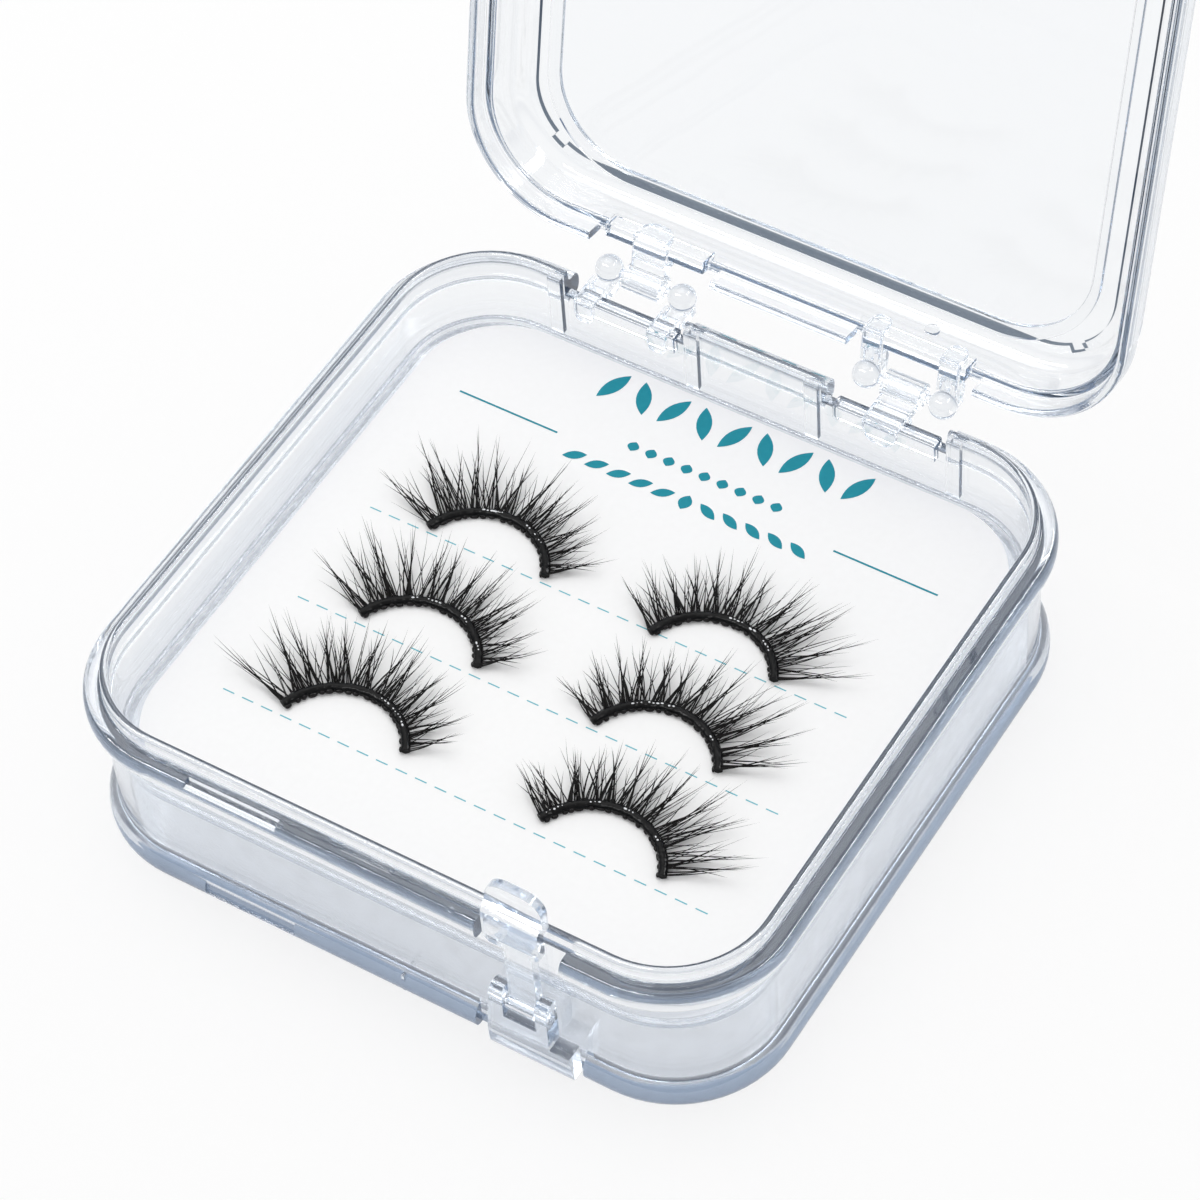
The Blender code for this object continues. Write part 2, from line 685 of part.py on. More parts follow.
def leg_round(name, centre_x, width, above):
    """The corners to cut off a clip's inner leg so that it ends in a half circle."""
    side = 1 if above else -1
    radius = width / 2
    centre_z = PIVOT.z + side * (SADDLE_FACE + CLIP_WALL + CLIP_LEG - radius)
    end = centre_z + side * (radius + OVERRUN)
    half = radius + OVERRUN
    points = [(centre_x - half, end), (centre_x - half, centre_z), (centre_x - radius, centre_z)]
    for step in range(1, LEG_END_STEPS):
        angle = math.pi * step / LEG_END_STEPS
        x = centre_x - radius * math.cos(angle)
        points.append((x, centre_z + side * radius * math.sin(angle)))
    points += [(centre_x + radius, centre_z), (centre_x + half, centre_z), (centre_x + half, end)]
    leg_y = PIVOT.y - RAIL_INNER - SEAT_GAP
    return front_prism(name, points, leg_y - CLIP_WALL - OVERRUN, leg_y + SEAT_GAP / 2)


def set_clip(clip, tools, above):
    """Hang a clip's solids on the lid where it belongs there, then cut and join them."""
    if above:
        hang_on_lid(clip)
    for tool, operation in tools:
        if above:
            hang_on_lid(tool)
        add_boolean(clip, tool, operation)
    finish_part(clip, "clear_polystyrene")


def make_centre_clip(name, centre_x, above):
    """The middle clip, which ends in a barrel round the pin."""
    clip = clip_body(name, centre_x, CENTRE_CLIP_WIDTH, above, 0, CENTRE_ARM_DEPTH)
    at_pin = (centre_x, PIVOT.y, PIVOT.z)
    barrel = rod(name + "_barrel", BARREL_RADIUS, BARREL_LENGTH, at_pin)
    bore = rod(name + "_bore", PIN_BORE_RADIUS, BARREL_LENGTH + OVERRUN, at_pin)
    corners = leg_round(name + "_leg_corners", centre_x, CENTRE_CLIP_WIDTH, above)
    tools = [(corners, "DIFFERENCE"), (barrel, "UNION"), (bore, "DIFFERENCE")]
    set_clip(clip, tools, above)


def make_outer_clip(name, centre_x, above, slotted):
    """A side clip, which cups one of the pin's ball ends."""
    arm_depth = BALL_CUP_RADIUS + CUP_WALL - SADDLE_FACE
    clip = clip_body(name, centre_x, OUTER_CLIP_WIDTH, above, CUP_REACH, arm_depth)
    cup = ball(name + "_cup", BALL_CUP_RADIUS, (centre_x, PIVOT.y, PIVOT.z))
    corners = leg_round(name + "_leg_corners", centre_x, OUTER_CLIP_WIDTH, above)
    tools = [(corners, "DIFFERENCE"), (cup, "DIFFERENCE")]
    if slotted:
        side = 1 if above else -1
        depth = PIVOT.z + side * (SADDLE_FACE + CLIP_WALL)
        end = PIVOT.z + side * (SADDLE_FACE + CLIP_WALL + SLOT_LENGTH)
        slot_y = PIVOT.y - BALL_CUP_RADIUS
        slot = block(
            name + "_slot",
            (centre_x - SLOT_WIDTH / 2, PIVOT.y - RAIL_OUTER, min(depth, end)),
            (centre_x + SLOT_WIDTH / 2, slot_y + OVERRUN, max(depth, end)),
        )
        tools.append((slot, "DIFFERENCE"))
    set_clip(clip, tools, above)


def pin_profile():
    """Radius and place along the axis, from one ball's pole to the other's."""
    neck_angle = math.asin(PIN_RADIUS / BALL_RADIUS)
    half = []
    for step in range(BALL_STEPS + 1):
        angle = (math.pi - neck_angle) * step / BALL_STEPS
        radius = BALL_RADIUS * math.sin(angle)
        half.append((radius, BALL_OFFSET + BALL_RADIUS * math.cos(angle)))
    return half + [(radius, -place) for radius, place in half[::-1]]


def make_hinge_pin(name, centre_x):
    """A pin with a ball at each end, turned round its axis."""
    mesh = bpy.data.meshes.new(name)
    work = bmesh.new()
    verts = [work.verts.new((radius, 0, place)) for radius, place in pin_profile()]
    for first, second in zip(verts, verts[1:]):
        work.edges.new((first, second))
    work.to_mesh(mesh)
    work.free()
    pin = bpy.data.objects.new(name, mesh)
    turn = pin.modifiers.new("turned", "SCREW")
    turn.steps = ROUND_SIDES
    turn.render_steps = ROUND_SIDES
    turn.use_merge_vertices = True
    turn.merge_threshold = WELD_DISTANCE
    turn.use_normal_calculate = True
    pin.location = (centre_x, PIVOT.y, PIVOT.z)
    pin.rotation_euler = (0, math.pi / 2, 0)
    finish_part(pin, "clear_polystyrene")


def make_hinges():
    """On the left the lid has the middle clip, and on the right the base has it."""
    for side, centre_x in zip(("left", "right"), hinge_centres()):
        lid_in_middle = side == "left"
        middle_owner = "lid" if lid_in_middle else "base"
        outer_owner = "base" if lid_in_middle else "lid"
        make_centre_clip("hinge_%s_%s_clip" % (side, middle_owner), centre_x, lid_in_middle)
        for label, offset in (("a", -BALL_OFFSET), ("b", BALL_OFFSET)):
            name = "hinge_%s_%s_clip_%s" % (side, outer_owner, label)
            make_outer_clip(name, centre_x + offset, not lid_in_middle, not lid_in_middle)
        make_hinge_pin("hinge_%s_pin" % side, centre_x)


def bracket_side_outline():
    """Side view of the bracket, with its top and foot edges broken."""
    front_y = BRACKET_BACK_Y - BRACKET_DEPTH
    return [
        (BRACKET_BACK_Y, SEAT_GAP),
        (BRACKET_BACK_Y, BRACKET_HEIGHT - BRACKET_CHAMFER),
        (BRACKET_BACK_Y - BRACKET_CHAMFER, BRACKET_HEIGHT),
        (front_y + BRACKET_CHAMFER, BRACKET_HEIGHT),
        (front_y, BRACKET_HEIGHT - BRACKET_CHAMFER),
        (front_y, FOOT_HEIGHT),
        (front_y + BRACKET_CHAMFER, SEAT_GAP),
    ]


def bracket_front_outline():
    """Front view of the bracket: sloped on the left, stepped on the right."""
    left_foot = LATCH_X - BRACKET_HALF_FOOT
    left_top = LATCH_X - BRACKET_HALF_TOP
    right = LATCH_X + BRACKET_HALF_TOP
    step_right = right + BRACKET_STEP_WIDTH
    return [
        (left_foot, -OVERRUN),
        (step_right, -OVERRUN),
        (step_right, BRACKET_STEP_HEIGHT),
        (right, BRACKET_STEP_HEIGHT),
        (right, BRACKET_HEIGHT + OVERRUN),
        (left_top, BRACKET_HEIGHT + OVERRUN),
    ]


def make_latch_bracket():
    """The block at the foot with two ears that hold the latch pin."""
    front_y = BRACKET_BACK_Y - BRACKET_DEPTH
    full_width = 2 * (BRACKET_HALF_TOP + BRACKET_STEP_WIDTH + OVERRUN)
    bracket = side_prism("latch_bracket", bracket_side_outline(), LATCH_X, full_width)
    sides = front_prism(
        "latch_bracket_sides",
        bracket_front_outline(),
        front_y - OVERRUN,
        BRACKET_BACK_Y + OVERRUN,
    )
    half = SHANK_WIDTH / 2 + SEAT_GAP
    slot = block(
        "latch_bracket_slot",
        (LATCH_X - half, front_y - OVERRUN, BRACKET_BLOCK_HEIGHT),
        (LATCH_X + half, BRACKET_BACK_Y + OVERRUN, BRACKET_HEIGHT + OVERRUN),
    )
    bore = rod(
        "latch_bracket_bore",
        LATCH_BORE_RADIUS,
        full_width,
        (LATCH_X, LATCH_PIN_Y, LATCH_PIN_HEIGHT),
    )
    add_boolean(bracket, sides, "INTERSECT")
    add_boolean(bracket, slot, "DIFFERENCE")
    add_boolean(bracket, bore, "DIFFERENCE")
    finish_part(bracket, "clear_polystyrene")


def make_latch_pin():
    """The short pin that the lever turns on."""
    at = (LATCH_X, LATCH_PIN_Y, LATCH_PIN_HEIGHT)
    finish_part(rod("latch_pin", LATCH_PIN_RADIUS, LATCH_PIN_LENGTH, at), "clear_polystyrene")


def lever_outline():
    """Side view of the lever: shank, jog round the lid's flange, hook and thumb tab."""
    back = LEVER_BACK_Y
    front = back - LEVER_THICKNESS
    high_front = LEVER_HIGH_BACK_Y - LEVER_THICKNESS
    hook_under = LID_FLANGE_TOP + SEAT_GAP
    hook_back = LID_INSET + HOOK_REACH - HALF_DEPTH
    tab_front = hook_back - LEVER_THICKNESS
    jog_low = BASE_HEIGHT - LEVER_JOG
    return [
        (back, LATCH_PIN_HEIGHT),
        (back, jog_low),
        (LEVER_HIGH_BACK_Y, BASE_HEIGHT),
        (LEVER_HIGH_BACK_Y, hook_under),
        (hook_back, hook_under),
        (hook_back, LEVER_TOP),
        (tab_front, LEVER_TOP),
        (tab_front, hook_under + HOOK_DEPTH + HOOK_SLOPE),
        (high_front, hook_under + HOOK_DEPTH),
        (high_front, BASE_HEIGHT - LEVER_JOG / 2),
        (front, jog_low - LEVER_JOG),
        (front, LATCH_PIN_HEIGHT),
    ]


def lever_front_outline():
    """Front view of the lever: a narrow shank and a wide head with a round top."""
    shank = SHANK_WIDTH / 2
    head = LEVER_WIDTH / 2
    low = LATCH_PIN_HEIGHT - OVERRUN
    points = [
        (-shank, low),
        (shank, low),
        (shank, LEVER_WIDENS_AT),
        (head, LEVER_WIDENS_AT + head - shank),
    ]
    for step in range(CORNER_STEPS + 1):
        angle = math.pi / 2 * step / CORNER_STEPS
        x = head - LEVER_TOP_RADIUS + LEVER_TOP_RADIUS * math.cos(angle)
        z = LEVER_TOP - LEVER_TOP_RADIUS + LEVER_TOP_RADIUS * math.sin(angle)
        points.append((x, z))
    mirrored = [(-x, z) for x, z in points[:1:-1]]
    return [(LATCH_X + x, z) for x, z in points + mirrored]


def make_latch_lever():
    """The lever, with its origin on the latch pin's axis."""
    lever = side_prism("latch_lever", lever_outline(), LATCH_X, LEVER_WIDTH + OVERRUN)
    front = front_prism(
        "latch_lever_front",
        lever_front_outline(),
        LEVER_HIGH_BACK_Y - LEVER_THICKNESS - OVERRUN,
        LEVER_BACK_Y + OVERRUN,
    )
    axis = Vector((LATCH_X, LATCH_PIN_Y, LATCH_PIN_HEIGHT))
    knuckle = rod("latch_lever_knuckle", KNUCKLE_RADIUS, SHANK_WIDTH, axis)
    bore = rod("latch_lever_bore", LATCH_BORE_RADIUS, SHANK_WIDTH + OVERRUN, axis)
    empty = bpy.data.objects.new("latch_axis", None)
    PARTS.objects.link(empty)
    empty.location = axis
    for item in (lever, front, knuckle, bore):
        item.data.transform(Matrix.Translation(-axis))
        item.parent = empty
    add_boolean(lever, front, "INTERSECT")
    add_boolean(lever, knuckle, "UNION")
    add_boolean(lever, bore, "DIFFERENCE")
    finish_part(lever, "clear_polystyrene")


def make_platform():
    """The skirted platform that lifts the card off the floor."""
    profile = [
        (PLATFORM_WALL, PLATFORM_TOP - PLATFORM_WALL),
        (PLATFORM_WALL, PLATFORM_FOOT),
        (0, PLATFORM_FOOT),
        (0, PLATFORM_TOP + PLATFORM_RIM_HEIGHT),
        (PLATFORM_RIM_WIDTH, PLATFORM_TOP + PLATFORM_RIM_HEIGHT),
        (PLATFORM_RIM_WIDTH, PLATFORM_TOP),
    ]
    platform = swept_tray("insert_platform", case_outline(PLATFORM_INSET), profile)
    finish_part(platform, "clear_platform")


def make_card():
    """The printed card that the lashes are laid on."""
    outline = rounded_rectangle(CARD_HALF_WIDTH, CARD_HALF_DEPTH, CARD_RADIUS)
    finish_part(prism("insert_card", outline, CARD_BOTTOM, CARD_TOP), "white_card")


def arc_strip(centre_radius, width):
    """Outline of a strip bent along the lash's arc, round the chord's middle."""
    points = []
    for radius, order in ((centre_radius + width / 2, 1), (centre_radius - width / 2, -1)):
        for step in range(BAND_STEPS + 1)[::order]:
            angle = LASH_HALF_ANGLE * (1 - 2 * step / BAND_STEPS)
            points.append((radius * math.sin(angle), radius * math.cos(angle) - LASH_ARC_DROP))
    return points


def strand_length(row, index, outerness_share):
    """Length of one strand: long at the outer corner, with an even wave along the band."""
    length = SHORT_STRAND + (LONG_STRAND - SHORT_STRAND) * outerness_share
    wave = math.sin(SWING_PER_STRAND * index + SWING_PER_ROW * row)
    return length * (1 - LENGTH_SWING_SHARE * (1 - wave))


def strand_points(row, index, outer_side):
    """Centre line of one strand: root, middle and tip."""
    place_share = (index + ROW_PLACE_SHARES[row]) / STRANDS_PER_ROW
    cluster_middle = (index // CLUSTER_SIZE + CLUSTER_MIDDLE_SHARE) * CLUSTER_SIZE
    pull_share = (cluster_middle / STRANDS_PER_ROW - place_share) * CLUSTER_PULL_SHARE
    outerness_share = place_share if outer_side > 0 else 1 - place_share
    left_fan = -FAN_OUTER_DEGREES if outer_side < 0 else -FAN_INNER_DEGREES
    right_fan = FAN_OUTER_DEGREES if outer_side > 0 else FAN_INNER_DEGREES
    fan = math.radians(left_fan + (right_fan - left_fan) * (place_share + pull_share))
    arc = LASH_HALF_ANGLE * (2 * place_share - 1)
    root_x = LASH_RADIUS * math.sin(arc)
    root_y = LASH_RADIUS * math.cos(arc) - LASH_ARC_DROP
    root = Vector((root_x, root_y, ROW_HEIGHTS[row]))
    reach = strand_length(row, index, outerness_share) * Vector((math.sin(fan), math.cos(fan), 0))
    middle = root + reach * BEND_PLACE_SHARE
    middle.z += ROW_RISES[row] * BEND_RISE_SHARE
    tip = root + reach
    tip.z += ROW_RISES[row]
    return root, middle, tip


def strand_ring(work, centre, ahead, radius):
    """Corners of a strand's section, square to the way it runs."""
    forward = (ahead - centre).normalized()
    across = forward.cross(Vector((0, 0, 1))).normalized()
    above = across.cross(forward)
    ring = []
    for side in range(STRAND_SIDES):
        angle = 2 * math.pi * side / STRAND_SIDES
        corner = across * math.cos(angle) + above * math.sin(angle)
        ring.append(work.verts.new(centre + radius * corner))
    return ring


def add_strand(work, root, middle, tip):
    """Build one strand as a tapered prism that ends in a point."""
    low = strand_ring(work, root, middle, STRAND_RADIUS)
    high = strand_ring(work, middle, tip, STRAND_RADIUS * BEND_RADIUS_SHARE)
    point = work.verts.new(tip)
    work.faces.new(low[::-1])
    for side in range(STRAND_SIDES):
        after = (side + 1) % STRAND_SIDES
        work.faces.new((low[side], low[after], high[after], high[side]))
        work.faces.new((high[side], high[after], point))


def make_strands(name, outer_side):
    """All strands of one lash, in two rows that fan out and never cross."""
    mesh = bpy.data.meshes.new(name)
    work = bmesh.new()
    for row in range(len(ROW_HEIGHTS)):
        for index in range(STRANDS_PER_ROW):
            add_strand(work, *strand_points(row, index, outer_side))
    bmesh.ops.recalc_face_normals(work, faces=work.faces)
    work.to_mesh(mesh)
    work.free()
    return bpy.data.objects.new(name, mesh)


def lash_place(number, outer_side):
    """Where one lash lies on the card."""
    line = (number - 1) % LASHES_PER_COLUMN
    shift_x_share, shift_y_share = LASH_SHIFT_SHARES[number - 1]
    x = outer_side * COLUMN_X + shift_x_share * LASH_CHORD
    y = FIRST_LINE_Y - line * LINE_PITCH + LASH_ABOVE_LINE + shift_y_share * LASH_CHORD
    turn = math.radians(LASH_TURN_DEGREES[number - 1])
    return Matrix.Translation((x, y, LASH_Z)) @ Matrix.Rotation(turn, 4, "Z")


def make_lashes():
    """Six half lashes: a glossy glue band on the card and its fibres behind it."""
    glue_radius = LASH_RADIUS - BACKING_WIDTH / 2 - SEAT_GAP - GLUE_WIDTH / 2
    for number in range(1, 2 * LASHES_PER_COLUMN + 1):
        outer_side = -1 if number <= LASHES_PER_COLUMN else 1
        place = lash_place(number, outer_side)
        glue_outline = arc_strip(glue_radius, GLUE_WIDTH)
        glue = prism("lash_glue_band_%d" % number, glue_outline, 0, GLUE_HEIGHT)
        glue.matrix_world = place
        add_bevel(glue, GLUE_ROUND)
        finish_part(glue, "black_glue")
        backing_outline = arc_strip(LASH_RADIUS, BACKING_WIDTH)
        fibres = prism("lash_fibres_%d" % number, backing_outline, 0, BACKING_HEIGHT)
        strands = make_strands("lash_strands_%d" % number, outer_side)
        fibres.matrix_world = place
        strands.matrix_world = place
        add_boolean(fibres, strands, "UNION")
        finish_part(fibres, "black_fibre")


clear_scene()
PARTS = new_collection("eyelash_case")
CUTTERS = new_collection("cutters")
LID_AXIS = bpy.data.objects.new("lid_axis", None)
PARTS.objects.link(LID_AXIS)
LID_AXIS.location = PIVOT
LID_AXIS.rotation_euler = (-math.radians(LID_OPEN_DEGREES), 0, 0)
make_base_shell()
make_lid_shell()
make_hinges()
make_latch_bracket()
make_latch_pin()
make_latch_lever()
make_platform()
make_card()
make_lashes()
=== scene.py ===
"""Builds the clear eyelash case round its CAD frame and sets it on a white sweep.

The two shells, the platform and the card are modelled anew with rounded corners and broken
edges. The hinge and latch parts are refined from the frame. The lashes are built fibre by fibre.
"""

import json
import math
import random

import bmesh
import bpy
from bpy.props import FloatProperty, FloatVectorProperty, IntProperty, PointerProperty
from bpy.types import Operator, Panel, PropertyGroup
from mathutils import Matrix, Vector


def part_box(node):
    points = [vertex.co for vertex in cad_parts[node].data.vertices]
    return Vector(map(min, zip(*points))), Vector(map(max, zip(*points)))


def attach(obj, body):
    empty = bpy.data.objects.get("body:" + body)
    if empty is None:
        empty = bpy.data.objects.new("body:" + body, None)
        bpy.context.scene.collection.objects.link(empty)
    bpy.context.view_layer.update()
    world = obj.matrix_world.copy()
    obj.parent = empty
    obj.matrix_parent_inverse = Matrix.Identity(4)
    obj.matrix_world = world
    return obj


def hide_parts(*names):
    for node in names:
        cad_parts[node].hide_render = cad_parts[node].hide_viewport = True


bl_info = {
    "name": "Clear eyelash case",
    "version": (1, 0, 0),
    "blender": (4, 5, 0),
    "location": "View3D > Sidebar > Lash case",
    "description": "Builds a clear hinged case with six half lashes on a printed card",
    "category": "Add Mesh",
}

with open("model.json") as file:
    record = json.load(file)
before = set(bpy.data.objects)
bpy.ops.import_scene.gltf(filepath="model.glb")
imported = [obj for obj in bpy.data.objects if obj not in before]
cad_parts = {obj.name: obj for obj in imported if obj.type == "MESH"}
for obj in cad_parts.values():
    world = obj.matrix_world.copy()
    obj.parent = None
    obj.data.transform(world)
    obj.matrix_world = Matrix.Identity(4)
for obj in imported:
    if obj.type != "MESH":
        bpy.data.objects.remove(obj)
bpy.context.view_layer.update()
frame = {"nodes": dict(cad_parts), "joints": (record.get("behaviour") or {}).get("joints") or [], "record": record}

MM = 0.001

# What the frame gives
BASE_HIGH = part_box("base_shell")[1]
CARD_LOW, CARD_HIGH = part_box("insert_card")
PLATFORM_LOW, PLATFORM_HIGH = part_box("insert_platform")
HINGE = frame["joints"][0]
HINGE_POINT = Vector(HINGE["pos_m"])
LID_TURN = (
    Matrix.Translation(HINGE_POINT)
    @ Matrix.Rotation(-math.radians(HINGE["range_deg"][1]), 4, "X")
    @ Matrix.Translation(-HINGE_POINT)
)
HALF_WIDTH = BASE_HIGH.x
HALF_DEPTH = BASE_HIGH.y
LID_RIM = HINGE_POINT.z + 0.15 * MM
LID_TOP = LID_RIM + 9.0 * MM
CASE_RADIUS = 15.0 * MM

# Section of the base: inset from the rim, height, and how far each corner is rounded
BASE_SECTION = (
    (5.6, 0.5, 0.0),
    (4.9, 0.5, 0.2),
    (4.5, 0.0, 0.2),
    (1.3, 0.0, 0.2),
    (0.8, 0.25, 0.2),
    (0.55, 0.9, 0.25),
    (0.5, 1.6, 0.25),
    (0.65, 2.4, 0.3),
    (1.1, 3.2, 0.3),
    (1.8, 4.0, 0.45),
    (1.8, 18.8, 0.45),
    (0.9, 18.8, 0.2),
    (0.42, 19.0, 0.2),
    (0.1, 19.6, 0.25),
    (0.0, 20.4, 0.25),
    (0.1, 21.2, 0.25),
    (0.42, 21.8, 0.2),
    (0.9, 22.0, 0.2),
    (2.25, 22.0, 0.45),
    (2.25, 24.0, 0.44),
    (3.2, 24.0, 0.44),
    (3.2, 1.6, 0.0),
)

# Section of the lid, shut, with heights above its rim
LID_SECTION = (
    (6.05, 7.7, 0.0),
    (3.15, 7.7, 1.9),
    (3.15, 2.3, 0.4),
    (1.9, 2.3, 0.4),
    (1.9, 0.0, 0.45),
    (0.75, 0.0, 0.45),
    (0.75, 3.2, 0.45),
    (1.85, 3.2, 0.4),
    (1.85, 9.0, 3.2),
    (6.05, 9.0, 0.0),
)

# Section of the platform, with heights above its foot
PLATFORM_SECTION = (
    (1.0, 10.0, 0.3),
    (1.0, 0.0, 0.0),
    (0.0, 0.0, 0.0),
    (0.0, 11.9, 0.25),
    (0.6, 11.9, 0.25),
    (0.6, 11.0, 0.2),
)

# Window in the lid's top: half sizes, corner radius, depth and wall
WINDOW_HALF_X = 35.8 * MM
WINDOW_HALF_Y = 37.2 * MM
WINDOW_RADIUS = 11.0 * MM
WINDOW_DEPTH = 0.6 * MM
LID_WALL = 1.3 * MM

# Hinges: their place, the half widths in millimetres of a notch and a rail, and the pins
HINGE_X = 17.7 * MM
NOTCH_HALF = 8.4
RAIL_HALF = 6.9
RAIL_ROUND = 0.3 * MM
BALL_OFFSET = 5.1 * MM
BALL_RADIUS = 1.75 * MM
PIN_RADIUS = 0.55 * MM
CLIP_ROUND = 0.24 * MM

# Cuts at the front: a panel in the rim and in the foot, and room for the latch in both
FRONT_CUTS = (
    ((-24.1, -44.75, 21.3), (-11.9, -42.3, 23.0)),
    ((-24.1, -44.25, 0.7), (-11.9, -42.8, 3.3)),
    ((14.0, -44.75, 17.8), (24.8, -41.95, 25.0)),
    ((12.4, -44.75, -1.0), (26.4, -41.95, 5.0)),
)

# Small moulded marks along the front: a ruled frame on the ledge, a tick on the foot, gate dots
FRONT_MARKS = (
    ((-3.8, -42.45, 21.8), (2.6, -42.28, 22.12)),
    ((-3.8, -41.75, 21.8), (2.6, -41.58, 22.12)),
    ((-3.8, -42.45, 21.8), (-3.62, -41.58, 22.12)),
    ((-1.8, -42.45, 21.8), (-1.62, -41.58, 22.12)),
    ((2.42, -42.45, 21.8), (2.6, -41.58, 22.12)),
    ((2.6, -43.15, 0.6), (3.0, -42.2, 3.3)),
)
GATE_DOTS = (
    (2.55, -41.95, 22.0, 0.32),
    (10.9, -43.1, 21.8, 0.34),
    (-11.4, -42.9, 21.9, 0.3),
    (-9.6, -42.1, 22.0, 0.16),
    (-4.6, -41.7, 22.0, 0.16),
    (-6.9, -43.0, 21.9, 0.14),
)

# Card print, in millimetres on the card
RULE_Y = 26.3
RULE_ENDS = (18.9, 32.7)
RULE_WIDTH = 0.26
DASH_LINES_Y = (5.73, -9.76, -25.25)
DASH_END = 33.3
DASH_LENGTH = 1.55
DASH_PITCH = 2.62
DASH_WIDTH = 0.16
INK_LIFT = 0.02 * MM

# Painted shade of the paper at distances, in millimetres, from the middle of the case's corner
# rounding, whose edge is at 15: pale inside, slate under the foot's rim, pale again outside. It is
# a painted contact shadow, a colour that only rays through the plastic see
PAINTED_FOOT_SHADE = (
    (10.2, "#f4f6f9"),
    (11.6, "#465060"),
    (14.3, "#414b5a"),
    (15.6, "#dfe3ea"),
    (26.0, "#fefefe"),
)

# Lashes: the band's arc, the grid they lie on, and each lash's shift along X and Y in chords
# and its turn in degrees
LASH_CHORD = 17.0 * MM
LASH_RISE = 5.9 * MM
LASH_RADIUS = ((LASH_CHORD / 2) ** 2 + LASH_RISE**2) / (2 * LASH_RISE)
LASH_HALF_ANGLE = math.asin(LASH_CHORD / 2 / LASH_RADIUS)
LASH_COLUMN_X = 16.2 * MM
LASH_LINE_PITCH = 15.5 * MM
LASH_FIRST_Y = 7.0 * MM
LASH_FLOOR = CARD_HIGH.z + 0.02 * MM
LASH_PLACES = (
    (-0.009, -0.024, 0.6),
    (0.003, 0.003, 0.0),
    (-0.032, 0.041, 4.0),
    (-0.097, -0.065, 3.0),
    (-0.041, 0.009, 3.2),
    (0.076, 0.038, -0.7),
)
BAND_WIDTH = 1.15 * MM
BAND_HEIGHT = 1.0 * MM

# Length of the fibres, in millimetres, at places from the inner to the outer end of a band
FIBRE_REACH = ((0.0, 8.4), (0.2, 9.4), (0.45, 10.3), (0.65, 11.8), (0.82, 13.4), (1.0, 12.8))

# Angles, in degrees, up to which a moulded and a round piece are shaded smooth
MOULDED_SMOOTH = 38.0
ROUND_SMOOTH = 80.0

# Crystal polystyrene: its index, after how many bounces light counts as held in a wall, and
# how strong the painted glow is that the wall then gives off, an emission standing in for held light
CLEAR_INDEX = 1.59
HELD_BOUNCES = 6.5
PAINTED_GLOW_SHARE = 0.06

# Stage, in metres: the lamps, the floor, how much of its look is plain white, and how far out
# its painted shade under the foot is drawn
SOFTBOX_PLACE = (-0.25, 0.25, 0.75)
SOFTBOX_SIZE = 0.7
STRIP_LENGTH = 0.7
STRIP_WIDTH = 0.12
FLOOR_SIZE = 4
FLOOR_DROP = 0.02 * MM
PAPER_WHITE = 0.75
SHADE_REACH = 40 * MM

# Camera: azimuth, elevation and roll in degrees, what it looks at, and its focal length in
# pixels of the photograph's frame
CAMERA_ANGLES = (34.86, 51.01, -4.60)
CAMERA_DISTANCE = 552.55 * MM
CAMERA_TARGET = (-7.40 * MM, 15.87 * MM, 0.0)
FOCAL_PIXELS = 4621.2
FRAME_PIXELS = 1200
SENSOR_WIDTH = 36.0


def linear_colour(code):
    """Turn an sRGB hex colour into the linear colour that a socket takes."""
    levels = [int(code[start : start + 2], 16) / 255 for start in (1, 3, 5)]
    linear = [v / 12.92 if v <= 0.04045 else ((v + 0.055) / 1.055) ** 2.4 for v in levels]
    return (*linear, 1.0)


def colour_setting(name, description, code):
    """A colour that the user can change."""
    return FloatVectorProperty(
        name=name,
        description=description,
        default=linear_colour(code),
        subtype="COLOR",
        size=4,
    )


def add_node(tree, kind, settings=None, links=None):
    """Add a shader node, set its inputs and options, and link what feeds it."""
    node = tree.nodes.new(kind)
    for key, value in (settings or {}).items():
        if isinstance(key, int) or key in node.inputs:
            node.inputs[key].default_value = value
        else:
            setattr(node, key, value)
    for key, source in (links or {}).items():
        tree.links.new(source, node.inputs[key])
    return node


def new_material(name):
    """An empty node material and its output."""
    material = bpy.data.materials.new(name)
    material.use_nodes = True
    material.node_tree.nodes.clear()
    output = add_node(material.node_tree, "ShaderNodeOutputMaterial")
    return material, material.node_tree, output


class ShellSettings(PropertyGroup):
    """Sizes and colours of the clear mouldings."""

    corner_steps: IntProperty(
        name="Corner steps",
        description="Faces round each corner of the case",
        default=16,
        min=4,
        max=48,
    )
    cut_round: FloatProperty(
        name="Cut edge rounding",
        description="Rounding of the edges round notches and panels",
        default=0.24 * MM,
        unit="LENGTH",
        precision=5,
    )
    tint: colour_setting("Plastic tint", "Colour of light that crosses one surface", "#fdfeff")
    depth_tint: colour_setting(
        "Edge tint", "Colour that long paths through the plastic turn to", "#98a9ba"
    )
    # Colour of the painted glow that deep paths get, standing in for light held in the walls
    painted_glow_tint: colour_setting("Held light", "Colour of light that is held inside the walls", "#bdc4ce")
    depth_density: FloatProperty(
        name="Edge density",
        description="How fast the plastic takes light, per metre",
        default=50.0,
        min=0.0,
    )


class CardSettings(PropertyGroup):
    """Colours of the card and its print."""

    paper: colour_setting("Card", "Colour of the coated card", "#fdfdfd")
    ink: colour_setting("Ink", "Colour of the rules and the ornament", "#14879a")
    pale_ink: colour_setting("Pale ink", "Colour of the dashed lines", "#5fb6c6")


